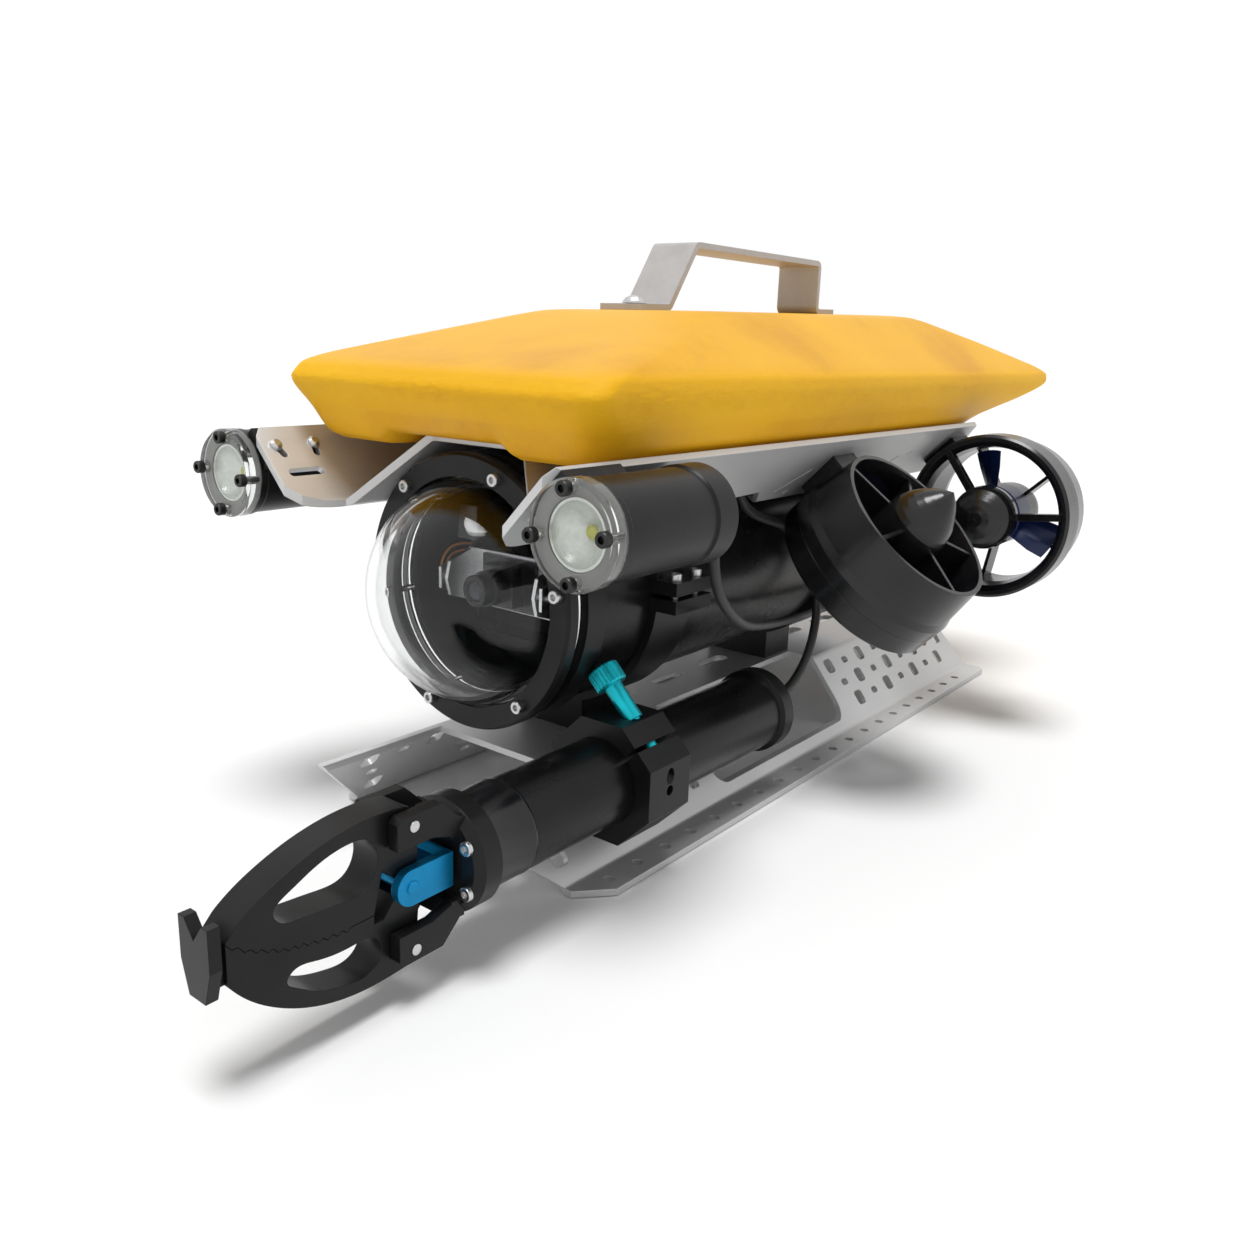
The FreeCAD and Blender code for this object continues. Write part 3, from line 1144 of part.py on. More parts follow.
def toothed(side):
    """The parting line with teeth along its middle run, half the running gap to one side."""
    line = parting_line()
    points = [line[0]]
    for (x0, z0), (x1, z1) in zip(line, line[1:]):
        steps = max(1, round((x1 - x0) / TOOTH_PITCH))
        for step in range(1, steps + 1):
            share = (step - 0.5) / steps
            if x0 > line[0][0] + 1:
                points.append((x0 + (x1 - x0) * share, z0 + (z1 - z0) * share - TOOTH_DEPTH))
            points.append((x0 + (x1 - x0) * step / steps, z0 + (z1 - z0) * step / steps))
    return [(x, z + side * JAW_GAP) for x, z in points]


def jaw_outline(way):
    """Curved back and cornered rest of a closed jaw's side view, from the pivots' X and the gripper's axis."""
    if way > 0:
        back = [(-1.0, 27.6), (7.0, 28.4), (16.0, 28.4), (26.0, 27.2), (34.0, 25.4), (46.0, 21.2), (56.0, 16.2),
                (62.0, 12.0)]
        root = [(9.0, 9.5), (-5.0, 17.5), (-5.0, 25.0)]
    else:
        back = [(-1.0, -31.0), (8.0, -31.6), (18.0, -31.5), (29.0, -29.9), (40.0, -26.4), (50.0, -21.2),
                (58.0, -15.2), (66.0, -6.0)]
        root = [(13.0, -9.5), (9.0, -9.5), (-5.0, -17.5), (-5.0, -27.0)]
    return back, toothed(way)[::-1] + root


def jaw(way):
    """One jaw with its oval window; way is +1 for the upper and -1 for the lower."""
    px = pivot_x()
    y0 = GRIP_Y - JAW_T / 2
    back, rest = [[V(px + x, y0, GRIP_Z + z) for x, z in points] for points in jaw_outline(way)]
    blade = curved_prism(back, rest, V(0, JAW_T, 0))
    lug = rod(px, y0, GRIP_Z + way * YOKE_RISE, 5.0, JAW_T, V(0, 1, 0))
    arm = [(px - 5.0, 20.0), (px + 5.0, 20.0), (px + 9.0, 9.5), (px + 4.0, 3.2), (px - 4.0, 3.2),
           (px - 6.0, 8.0)]
    lever = prism([V(x, y0, GRIP_Z + way * z) for x, z in arm], V(0, JAW_T, 0))
    body = fused([blade, lug, lever])
    rim = [V(px + x, y0 - 1, GRIP_Z + z) for x, z in jaw_window(way)]
    window = curved_prism(rim, [], V(0, JAW_T + 2, 0))
    body = body.cut([window, rod(px, y0 - 1, GRIP_Z + way * YOKE_RISE, PIN_R, JAW_T + 2, V(0, 1, 0))])
    if way < 0:
        body = fused([body] + hook())
    return body


def jaw_window(way):
    """(x, height) of points round the long opening in a jaw, relative like its outline."""
    if way > 0:
        return [(14.5, 5.6), (11.6, 10.0), (11.4, 16.5), (15.5, 21.6), (22.0, 22.6), (34.0, 20.0), (44.0, 15.4),
                (50.0, 10.2), (49.0, 7.6), (42.0, 5.0), (28.0, 3.8)]
    return [(13.0, -14.4), (10.6, -17.8), (10.8, -22.4), (14.5, -25.9), (24.0, -26.1), (35.0, -22.9),
            (43.5, -17.6), (46.4, -14.2), (45.0, -12.1), (36.0, -11.9), (22.0, -13.2)]


def hook():
    """Forked end plate on the lower jaw's tip."""
    tip = pivot_x() + JAW_LENGTH
    plate = [(-7.5, 15.0), (-4.5, 15.0), (0.0, 9.0), (4.5, 15.0), (7.5, 15.0), (7.5, 1.0), (4.2, -10.0), (-4.2, -10.0),
             (-7.5, 1.0)]
    fork = prism([V(tip, GRIP_Y + y, GRIP_Z + z) for y, z in plate], V(HOOK_T, 0, 0))
    neck = prism([V(tip - 6.0, GRIP_Y - 4.0, GRIP_Z + z) for z in (-6.5, 3.0)]
                 + [V(tip + 1.0, GRIP_Y - 4.0, GRIP_Z + z) for z in (3.0, -6.5)], V(0, 8.0, 0))
    return [fork, neck]


def drive_link():
    """Blue sliding fork on the actuator rod; its pin lies between the two jaw levers."""
    face = head_face_x()
    px = pivot_x()
    half = 10.4
    stem = rod(RING_X + GRIP_TUBE_FRONT - 10, GRIP_Y, GRIP_Z, 5.0, GRIP_HEAD_T + 13.0)
    bridge = box(face + 2.0, face + 8.0, GRIP_Y - half, GRIP_Y + half, GRIP_Z - 6.5, GRIP_Z + 6.5)
    parts = [stem, bridge]
    for side in (-1, 1):
        y0, y1 = sorted([GRIP_Y + side * half, GRIP_Y + side * (half - 3.4)])
        plate = box(face + 2.0, px, y0, y1, GRIP_Z - 6.5, GRIP_Z + 6.5)
        end = rod(px, y0, GRIP_Z, 6.5, y1 - y0, V(0, 1, 0))
        parts += [plate, end]
    parts.append(rod(px, GRIP_Y - half - 0.5, GRIP_Z, 2.4, 2 * half + 1.0, V(0, 1, 0)))
    return fused(parts)


def gripper_rear_cap():
    """Rear cap with a groove and a cable gland."""
    x = RING_X + GRIP_TUBE_REAR
    cap = turned([(12, 0), (12, GRIP_R - GRIP_WALL - FIT), (0, GRIP_R - GRIP_WALL - FIT), (0, GRIP_R - 0.2),
                  (-2, GRIP_R - 0.2), (-3, GRIP_HEAD_R - 0.8), (-GRIP_CAP_T + 1, GRIP_HEAD_R - 0.8),
                  (-GRIP_CAP_T, GRIP_HEAD_R - 1.8), (-GRIP_CAP_T, 6.5), (-GRIP_CAP_T - GRIP_GLAND + 2, 6.0),
                  (-GRIP_CAP_T - GRIP_GLAND, 4.0), (-GRIP_CAP_T - GRIP_GLAND, 0)], V(x, GRIP_Y, GRIP_Z), V(1, 0, 0))
    return cap


def grip_clamp_plane():
    """Distance from the gripper's axis to the leg's outer face, and that face's outward normal."""
    size = math.hypot(LEG_RISE, LEG_SPREAD)
    normal = V(0, LEG_RISE / size, LEG_SPREAD / size)
    on_face = V(0, PLATE_HALF, PLATE_Z)
    distance = (V(0, GRIP_Y, GRIP_Z) - on_face).dot(normal)
    return distance, normal


def grip_foot_down():
    """Distance down the leg's slope to the point square below the gripper's axis."""
    size = math.hypot(LEG_RISE, LEG_SPREAD)
    down = V(0, LEG_SPREAD / size, -LEG_RISE / size)
    return (V(0, GRIP_Y, GRIP_Z) - V(0, PLATE_HALF, PLATE_Z)).dot(down)


def grip_foot_screws():
    """X of the two screws through the clamp's foot."""
    middle = RING_X + GRIP_CLAMP_FRONT - GRIP_CLAMP_WIDTH / 2
    return [middle - 8.0, middle + 8.0]


def gripper_clamp():
    """Eight-sided split clamp round the gripper tube, with a foot that stands on the leg."""
    x0 = RING_X + GRIP_CLAMP_FRONT - GRIP_CLAMP_WIDTH
    radius = GRIP_CLAMP_HALF / math.cos(math.pi / 8)
    octagon = [V(x0, GRIP_Y + radius * math.cos(a), GRIP_Z + radius * math.sin(a)) for a in around(8, 22.5)]
    block = prism(octagon, V(GRIP_CLAMP_WIDTH, 0, 0))
    distance, normal = grip_clamp_plane()
    slant = math.degrees(math.atan2(normal.z, normal.y))
    foot = box(0, GRIP_CLAMP_WIDTH, -distance, -GRIP_R - 1, -13.0, 13.0)
    foot.Placement = FreeCAD.Placement(V(x0, GRIP_Y, GRIP_Z), FreeCAD.Rotation(V(1, 0, 0), slant))
    block = fused([block, foot])
    beyond = box(0, GRIP_CLAMP_WIDTH + 2, -distance - 40, -distance, -80, 80)
    beyond.Placement = FreeCAD.Placement(V(x0 - 1, GRIP_Y, GRIP_Z), FreeCAD.Rotation(V(1, 0, 0), slant))
    slit = box(-1, GRIP_CLAMP_WIDTH + 1, 0, 2 * radius, -GRIP_CLAMP_SLIT / 2, GRIP_CLAMP_SLIT / 2)
    slit.Placement = FreeCAD.Placement(V(x0, GRIP_Y, GRIP_Z), FreeCAD.Rotation(V(1, 0, 0), 45))
    cutters = [beyond, slit, rod(x0 - 1, GRIP_Y, GRIP_Z, GRIP_R + FIT, GRIP_CLAMP_WIDTH + 2)]
    base, axis = thumb_base()
    cutters.append(Part.makeCylinder(THUMB_R + FIT, 60, base - axis * 40, axis))
    cutters.append(Part.makeCylinder(THUMB_SLEEVE_R + 1.0, 40, base, axis))
    cutters.append(rod(x0 + GRIP_CLAMP_WIDTH * 0.5, GRIP_Y + GRIP_R + 3, GRIP_Z - 1.0, 2.2, 20, V(0, 1, 0)))
    for x in grip_foot_screws():
        hole = Part.makeCylinder(M3_R, 7.0, V(x, GRIP_Y, GRIP_Z) - normal * (distance + 1), normal)
        cutters.append(hole)
    return block.cut(cutters)


def thumb_base():
    """Foot of the thumbscrew's sleeve and its outward axis: square to the slit, beside the tube."""
    axis = V(0, -math.sqrt(0.5), math.sqrt(0.5))
    out = V(0, math.sqrt(0.5), math.sqrt(0.5))
    x = RING_X + GRIP_CLAMP_FRONT - GRIP_CLAMP_WIDTH / 2
    centre = V(x, GRIP_Y, GRIP_Z)
    return centre + out * (GRIP_R + THUMB_R + 1.0) + axis * 13.0, axis


def thumbscrew():
    """Teal thumbscrew: thread, plain sleeve and knurled head."""
    base, axis = thumb_base()
    flutes = 24
    under, top = THUMB_SLEEVE, THUMB_SLEEVE + THUMB_HEAD_T
    profile = [(-22, 0), (-22, THUMB_R), (0, THUMB_R), (0, THUMB_SLEEVE_R), (under, THUMB_SLEEVE_R),
               (under, THUMB_HEAD_R - 0.8), (under + 0.8, THUMB_HEAD_R), (top - 0.8, THUMB_HEAD_R),
               (top, THUMB_HEAD_R - 0.8), (top, 0)]
    screw_body = turned(profile, base, axis)
    cutters = []
    for angle in around(flutes):
        across, up = THUMB_HEAD_R * math.cos(angle), THUMB_HEAD_R * math.sin(angle)
        local = rod(under - 0.5, across, up, 0.45, THUMB_HEAD_T + 1)
        cutters.append(placed(local, base, axis))
    return screw_body.cut(cutters)


# ---- inside -----------------------------------------------------------------------------------------
def electronics_tray():
    """Tray on the tube's middle plane with a round bulkhead at each end."""
    front, rear = TRAY_FRONT_X, TRAY_REAR_X
    disc_r = TUBE_BORE - FIT - SPIGOT_WALL - 1.0
    plate = box(rear, front, -TRAY_HALF, TRAY_HALF, AXIS_Z - TRAY_T, AXIS_Z)
    discs = [rod(x, 0, AXIS_Z, TUBE_BORE - 1.0, 3.0) for x in (front - 3.0, rear)]
    nose = rod(front - 1, 0, AXIS_Z, disc_r, 16.0)
    whole = fused([plate, nose] + discs)
    half = CAMERA_SIDE + 4.0
    return whole.cut([box(front + 3, front + 20, -half, half, AXIS_Z - CAMERA_SIDE, AXIS_Z + CAMERA_SIDE)])


def battery_pack():
    """Battery under the tray."""
    half = TUBE_BORE - 21.0
    under = AXIS_Z - TRAY_T
    block = box(TRAY_REAR_X + 27.0, TRAY_FRONT_X - 37.0, -half, half, under - half - 5.0, under)
    return block.makeFillet(3.0, block.Edges)


def control_board():
    """Control board on four posts above the tray, with its tall parts."""
    x0, x1 = TRAY_REAR_X + 37.0, TRAY_FRONT_X - 37.0
    pitch = (x1 - x0 - 22.0) / 3
    board = box(x0, x1, -32.0, 32.0, AXIS_Z + 8.0, AXIS_Z + 10.0)
    posts = [rod(x, y, AXIS_Z, 3.0, 8.5, V(0, 0, 1)) for x in (x0 + 6, x1 - 6) for y in (-27.0, 27.0)]
    chips = []
    for step in range(3):
        start = x0 + 14.0 + pitch * step
        chips.append(box(start, start + pitch * 2 / 3, -22.0, 18.0, AXIS_Z + 9.5, AXIS_Z + 20.0))
    return fused([board] + posts + chips)


def tilt_x():
    """X of the camera's tilt axis."""
    return RING_X - TILT_BACK


def camera_frame():
    """Two bright side brackets that stand on the tray's front bulkhead and carry the tilt pivots."""
    root = TRAY_FRONT_X + 15.0
    parts = []
    for side in (-1, 1):
        y0, y1 = sorted([side * CAMERA_SIDE, side * (CAMERA_SIDE + 1.6)])
        outline = [(root, -16.0), (root, 16.0), (tilt_x() - 4, 7.0), (tilt_x() + 5, 5.0), (tilt_x() + 5, -5.0),
                   (tilt_x() - 6, -9.0)]
        plate = prism([V(x, y0, AXIS_Z + z) for x, z in outline], V(0, y1 - y0, 0))
        f0, f1 = sorted([side * CAMERA_SIDE, side * (CAMERA_SIDE + 8.0)])
        flange = box(root, root + 1.6, f0, f1, AXIS_Z - 16.0, AXIS_Z + 16.0)
        bracket = fused([plate, flange])
        parts.append(bracket.cut(rod(tilt_x(), -50, AXIS_Z, 2.0 + FIT, 100, V(0, 1, 0))))
    return parts


def camera_cradle():
    """Tilting cradle: a cross plate with two cheeks and two short pivots."""
    x = tilt_x()
    cheek = CAMERA_SIDE - 2.5
    back = box(x - 12, x - 10, -cheek, cheek, AXIS_Z - 13.0, AXIS_Z + 13.0)
    parts = [back]
    for side in (-1, 1):
        y0, y1 = sorted([side * cheek, side * (cheek - 1.8)])
        outline = [(x - 12, -13.0), (x - 12, 13.0), (x + 3, 8.0), (x + 5, 0.0), (x + 3, -8.0)]
        parts.append(prism([V(px, y0, AXIS_Z + z) for px, z in outline], V(0, y1 - y0, 0)))
        start, end = sorted([side * (cheek - 1.0), side * (CAMERA_SIDE + 3.2)])
        parts.append(rod(x, start, AXIS_Z, 2.0, end - start, V(0, 1, 0)))
    return fused(parts)


def camera_module():
    """Camera board and lens, standing on the cradle's cross plate."""
    x = tilt_x() - 10.0
    board = box(x, x + 2.0, -16.0, 16.0, AXIS_Z - 12.0, AXIS_Z + 12.0)
    block = box(x + 1.5, x + 9.0, -9.0, 9.0, AXIS_Z - 9.0, AXIS_Z + 9.0)
    profile = [(0, 0), (0, 8.0), (9.0, 8.0), (9.0, 7.0), (15.0, 7.0), (15.0, 5.0), (13.5, 3.0), (13.0, 0)]
    lens = turned(profile, V(x + 8.0, 0, AXIS_Z), V(1, 0, 0))
    return fused([board, block, lens])


def tilt_servo():
    """Servo on the tray's front bulkhead beside the starboard bracket."""
    root = TRAY_FRONT_X + 15.0
    under = AXIS_Z + CAMERA_SIDE - 11.0
    body = box(root, root + 23.0, -24.0, -12.0, under, under + 15.5)
    lugs = box(root + 6.0, root + 8.0, -28.0, -8.0, under, under + 11.5)
    return fused([body, lugs])


# ---- cables -----------------------------------------------------------------------------------------
# Route points beside the tube: forward of the ring face, out from the tube's wall to port, above its axis.
GRIPPER_CABLE = [(-176, 12, -63), (-186, 14, -46), (-194, 11.5, -23), (-187, 8.8, -1), (-171.7, 2, 17.6),
                 (-150, 1.8, 23)]
# The same along the port valley: forward of the ring face, out from the valley's line, above its lower face.
VALLEY_CABLE = [(-133, 1.8, -1), (-124, 1.4, 9), (-120.5, 0.8, 19), (-128.5, 0.4, 26), (-141.5, 0.6, 24.6),
                (-158, 1, 20), (-185, 0.8, 16), (-233, 1.4, 14), (-288, 0.8, 14.6), (-328, 1.2, 14),
                (-351, 0.8, 14.2), (-368, 0.4, 12.5), (-381, -3.2, 6.5), (-386, -10.2, -4),
                (-380, -18.2, -13), (-366, -23.7, -16.8)]
LAMP_CABLE = [(-43.5, 40.8, 33), (-47, 38.5, 20), (-55, 37, 6), (-72, 33, -6),
              (-98, 24, -17), (-128, 14, -25), (-162, 7, -31), (-205, 2.5, -34), (-255, 1.4, -35),
              (-300, 1.6, -34), (-330, 1, -32), (-348, -1, -29.5), (-360, -7.5, -25), (-363, -16.5, -19),
              (-356, -23.5, -14)]


def gland_mouth(number):
    """Where a cable leaves a gland of the rear end cap."""
    y, z = gland_points()[number]
    return V(END_CAP_X - GLAND_LENGTH, y, z)


def by_tube(points):
    """Places of the route points that are kept from the tube's wall and axis."""
    return [V(RING_X + x, TUBE_R + y, AXIS_Z + z) for x, y, z in points]


def by_valley(points):
    """Places of the route points that are kept from the port valley."""
    return [V(RING_X + x, VALLEY_Y + y, AXIS_Z + VALLEY_UNDER + z) for x, y, z in points]


def cable_route(start, straight, points, end):
    """A whole route: straight back from its start, over its listed points, and straight into its end gland."""
    return [start, start - V(straight, 0, 0)] + points + [end - V(GLAND_LENGTH, 0, 0), end]


def gripper_cable():
    """Cable from the gripper's rear cap, up through the wing notch and along the valley to the end cap."""
    start = V(RING_X + GRIP_TUBE_REAR - GRIP_CAP_T - GRIP_GLAND, GRIP_Y, GRIP_Z)
    points = by_tube(GRIPPER_CABLE) + by_valley(VALLEY_CABLE)
    return cable("gripper cable", cable_route(start, 13.0, points, gland_mouth(1)))


def port_lamp_cable():
    """Cable from the port lamp, down and back along the tube's side to the end cap."""
    y, z = lamp_centre()
    start = V(RING_X + LAMP_FACE - LAMP_LENGTH - LAMP_GLAND, y, z)
    return cable("lamp cable", cable_route(start, 6.0, by_tube(LAMP_CABLE), gland_mouth(8)))


def cable(name, route):
    """A round cable: straight runs joined by tangent arcs as large as the shorter run allows."""
    edges = []
    start = route[0]
    radii = []
    length = 0.0
    for before, here, after in zip(route, route[1:], route[2:]):
        back, ahead = before - here, after - here
        shorter = min(back.Length, ahead.Length)
        turn = math.pi - back.getAngle(ahead)
        cut = 0.45 * shorter
        radius = cut / math.tan(turn / 2)
        back.normalize()
        ahead.normalize()
        first, last = here + back * cut, here + ahead * cut
        bisector = back + ahead
        bisector.normalize()
        middle = here + bisector * (radius / math.cos(turn / 2) - radius)
        edges.append(Part.LineSegment(start, first).toShape())
        edges.append(Part.Arc(first, middle, last).toShape())
        radii.append(round(radius, 1))
        start = last
    edges.append(Part.LineSegment(start, route[-1]).toShape())
    path = Part.Wire(edges)
    length = path.Length
    direction = route[1] - route[0]
    section = Part.Wire([Part.Circle(route[0], direction, CABLE_R).toShape()])
    tube = path.makePipeShell([section], True, True)
    expected = math.pi * CABLE_R ** 2 * length
    print(name, "radii", radii, "length", round(length, 1), "volume ratio", round(tube.Volume / expected, 4))
    return tube


# ---- writing ----------------------------------------------------------------------------------------
def all_nodes():
    """Every node's name with its solid or solids."""
    front, rear = clamp_stations()
    nodes = [("bottom_frame", bottom_frame()), ("top_frame", top_frame()), ("float_block", float_block()),
             ("carry_handle", carry_handle()), ("handle_bolts", handle_bolts()),
             ("enclosure_tube", enclosure_tube()), ("dome_flange", dome_flange()),
             ("enclosure_seals", enclosure_seals()), ("viewing_dome", viewing_dome()),
             ("dome_retainer_ring", dome_retainer_ring()), ("dome_screws", dome_screws()),
             ("rear_flange", rear_flange()), ("rear_end_cap", rear_end_cap()),
             ("rear_cap_screws", rear_cap_screws()), ("cable_glands", cable_glands()),
             ("front_clamp_upper", clamp_half(front, True)), ("front_clamp_lower", clamp_half(front, False)),
             ("rear_clamp_upper", clamp_half(rear, True)), ("rear_clamp_lower", clamp_half(rear, False)),
             ("clamp_screws", clamp_screws()), ("electronics_tray", electronics_tray()),
             ("battery_pack", battery_pack()), ("control_board", control_board()),
             ("camera_frame", camera_frame()), ("camera_cradle", camera_cradle()),
             ("camera_module", camera_module()), ("tilt_servo", tilt_servo())]
    housing, bracket = lamp_housing(), lamp_bracket()
    lens, reflector, lens_screws = lamp_lens(), lamp_reflector(), lamp_lens_screws()
    nodes += [("port_lamp_housing", housing), ("starboard_lamp_housing", mirrored(housing)),
              ("port_lamp_lens", lens), ("starboard_lamp_lens", mirrored(lens)),
              ("lamp_reflectors", reflector + [mirrored(shape) for shape in reflector]),
              ("lamp_lens_screws", lens_screws + [mirrored(shape) for shape in lens_screws]),
              ("lamp_brackets", [bracket, mirrored(bracket)]), ("wing_screws", wing_screws())]
    nodes += thruster_parts()
    nodes += [("gripper_tube", gripper_tube()), ("gripper_head", gripper_head()),
              ("gripper_head_screws", gripper_head_screws()), ("gripper_pins", gripper_pins()),
              ("upper_jaw", jaw(1)), ("lower_jaw", jaw(-1)), ("drive_link", drive_link()),
              ("gripper_rear_cap", gripper_rear_cap()), ("gripper_clamp", gripper_clamp()),
              ("thumbscrew", thumbscrew()), ("gripper_cable", gripper_cable()),
              ("port_lamp_cable", port_lamp_cable())]
    return nodes


def main():
    os.makedirs("parts", exist_ok=True)
    for name, shapes in all_nodes():
        group = shapes if isinstance(shapes, list) else [shapes]
        whole = group[0] if len(group) == 1 else Part.makeCompound(group)
        if not whole.isValid():
            print("not valid:", name)
        whole.exportStep(os.path.join("parts", name + ".step"))
        limits = whole.BoundBox
        print(name, "solids", len(whole.Solids), "volume", round(whole.Volume / 1000, 2),
              [round(value, 1) for value in (limits.XMin, limits.XMax, limits.YMin, limits.YMax, limits.ZMin, limits.ZMax)])


main()
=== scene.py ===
import math

import bmesh
import bpy
import numpy as np
from mathutils import Matrix, Vector


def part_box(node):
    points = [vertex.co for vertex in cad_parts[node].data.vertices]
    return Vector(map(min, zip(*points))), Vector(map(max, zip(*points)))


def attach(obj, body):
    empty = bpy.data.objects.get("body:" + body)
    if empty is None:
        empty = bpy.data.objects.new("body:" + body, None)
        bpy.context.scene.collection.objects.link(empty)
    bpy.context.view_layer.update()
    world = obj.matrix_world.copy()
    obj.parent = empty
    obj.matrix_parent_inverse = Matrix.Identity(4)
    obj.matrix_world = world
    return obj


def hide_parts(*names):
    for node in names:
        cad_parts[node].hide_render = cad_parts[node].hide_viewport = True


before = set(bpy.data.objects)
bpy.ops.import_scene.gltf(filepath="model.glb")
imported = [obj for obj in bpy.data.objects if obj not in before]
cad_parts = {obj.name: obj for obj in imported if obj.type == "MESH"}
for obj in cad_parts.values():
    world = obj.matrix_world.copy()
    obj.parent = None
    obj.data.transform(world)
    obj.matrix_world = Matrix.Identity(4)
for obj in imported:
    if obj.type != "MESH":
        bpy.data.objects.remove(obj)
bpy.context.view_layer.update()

# ---- places shared by the whole vehicle, in metres --------------------------------------------------
RING_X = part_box("dome_retainer_ring")[1].x
AXIS_Z = 0.5 * (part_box("enclosure_tube")[0].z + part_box("enclosure_tube")[1].z)
CROWN_Z = AXIS_Z + 0.0653  # top of the frame's crown, where the float's base lies
GRIP_Y = 0.5 * (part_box("gripper_tube")[0].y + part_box("gripper_tube")[1].y)
GRIP_Z = 0.5 * (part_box("gripper_tube")[0].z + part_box("gripper_tube")[1].z)
MM = 0.001
CABLE_RADIUS = 2.3 * MM
FLOAT_BELT_RISE = 20.0  # widest line of the float's paint above the crown, mm
DOME_BACK = 12.0  # ring's front face to the dome's centre, mm


# ---- shader maths -----------------------------------------------------------------------------------
class Wire:
    """A socket that can be used in sums and products; each operation adds its Math node."""

    def __init__(self, tree, socket):
        self.tree = tree
        self.socket = socket

    def join(self, operation, other, flip=False):
        """Adds a Math node over this socket and another value; flip puts the other value first."""
        node = self.tree.nodes.new("ShaderNodeMath")
        node.operation = operation
        first, second = (other, self) if flip else (self, other)
        for slot, value in ((0, first), (1, second)):
            if isinstance(value, Wire):
                self.tree.links.new(value.socket, node.inputs[slot])
            else:
                node.inputs[slot].default_value = value
        return Wire(self.tree, node.outputs[0])

    def __add__(self, other):
        return self.join("ADD", other)

    def __radd__(self, other):
        return self.join("ADD", other, True)

    def __sub__(self, other):
        return self.join("SUBTRACT", other)

    def __rsub__(self, other):
        return self.join("SUBTRACT", other, True)

    def __mul__(self, other):
        return self.join("MULTIPLY", other)

    def __rmul__(self, other):
        return self.join("MULTIPLY", other, True)

    def __truediv__(self, other):
        return self.join("DIVIDE", other)

    def __rtruediv__(self, other):
        return self.join("DIVIDE", other, True)

    def high(self, other):
        """The larger of the two."""
        return self.join("MAXIMUM", other)


class Finish:
    """A material under construction: its node tree, its Principled shader and one way to add any node."""

    def __init__(self, name):
        self.material = bpy.data.materials.new(name)
        self.material.use_nodes = True
        self.tree = self.material.node_tree
        self.shader = self.tree.nodes["Principled BSDF"]
        self.place = self.add("ShaderNodeTexCoord", {}, {})["Object"]

    def add(self, kind, settings, values):
        """Adds a node: its settings first, then its socket values or links; returns its outputs by name."""
        node = self.tree.nodes.new(kind)
        for name, value in settings.items():
            if name == "stops":
                ramp = node.color_ramp
                while len(ramp.elements) < len(value):
                    ramp.elements.new(0.5)
                for element, (position, colour) in zip(ramp.elements, value):
                    element.position = position
                    element.color = (*colour, 1.0)
            else:
                setattr(node, name, value)
        for name, value in values.items():
            socket = node.inputs[name]
            if isinstance(value, Wire):
                self.tree.links.new(value.socket, socket)
            else:
                socket.default_value = value
        return {output.name: Wire(self.tree, output) for output in node.outputs}

    def stretched(self, scale):
        """Object coordinates scaled by axis, for grain that runs one way."""
        return self.add("ShaderNodeMapping", {}, {"Vector": self.place, "Scale": scale})["Vector"]

    def noise(self, scale, detail=4.0, rough=0.55, vector=None):
        """Soft noise between 0 and 1."""
        values = {"Vector": vector or self.place, "Scale": scale, "Detail": detail, "Roughness": rough}
        return self.add("ShaderNodeTexNoise", {}, values)["Fac"]

    def ramp(self, value, stops):
        """A colour ramp over a value."""
        return self.add("ShaderNodeValToRGB", {"stops": stops}, {"Fac": value})["Color"]

    def axis(self, name):
        """One Object coordinate as a number."""
        return self.add("ShaderNodeSeparateXYZ", {}, {"Vector": self.place})[name]

    def set(self, **values):
        """Sets the shader's sockets; underscores stand for spaces."""
        for name, value in values.items():
            socket = self.shader.inputs[name.replace("_", " ")]
            if isinstance(value, Wire):
                self.tree.links.new(value.socket, socket)
            else:
                socket.default_value = value

    def bump(self, height, strength=0.3, distance=0.001, soft_edge=0.0):
        """Bump from a height, over rounded edge normals where soft_edge is given."""
        values = {"Height": height, "Strength": strength, "Distance": distance}
        if soft_edge:
            values["Normal"] = self.add("ShaderNodeBevel", {"samples": 4}, {"Radius": soft_edge})["Normal"]
        self.set(Normal=self.add("ShaderNodeBump", {}, values)["Normal"])


def black_anodised(name, tone, rough):
    """Black anodised aluminium: near black, faint smudges, a fine matt tooth and softly lit edges."""
    f = Finish(name)
    smudge = f.noise(38.0, 5.0)
    tooth = f.noise(2600.0, 2.0)
    deep = (tone * 0.75, tone * 0.78, tone * 0.85)
    worn = (tone * 1.5, tone * 1.52, tone * 1.6)
    f.set(Base_Color=f.ramp(smudge, [(0.3, deep), (0.75, worn)]),
          Roughness=rough - 0.05 + smudge * 0.12, Metallic=0.1, Specular_IOR_Level=0.22)
    f.bump(tooth, 0.06, 0.0002, 0.0004)
    return f.material


def moulded_black(name, rough):
    """Glossy moulded plastic: black with a faint orange-peel and wear-lightened high spots."""
    f = Finish(name)
    peel = f.noise(420.0, 3.0)
    dust = f.noise(55.0, 6.0, 0.65)
    f.set(Base_Color=f.ramp(dust, [(0.35, (0.004, 0.004, 0.005)), (0.85, (0.014, 0.014, 0.015))]),
          Roughness=rough + dust * 0.14 - 0.06, Specular_IOR_Level=0.42)
    f.bump(peel, 0.1, 0.0004, 0.0006)
    return f.material


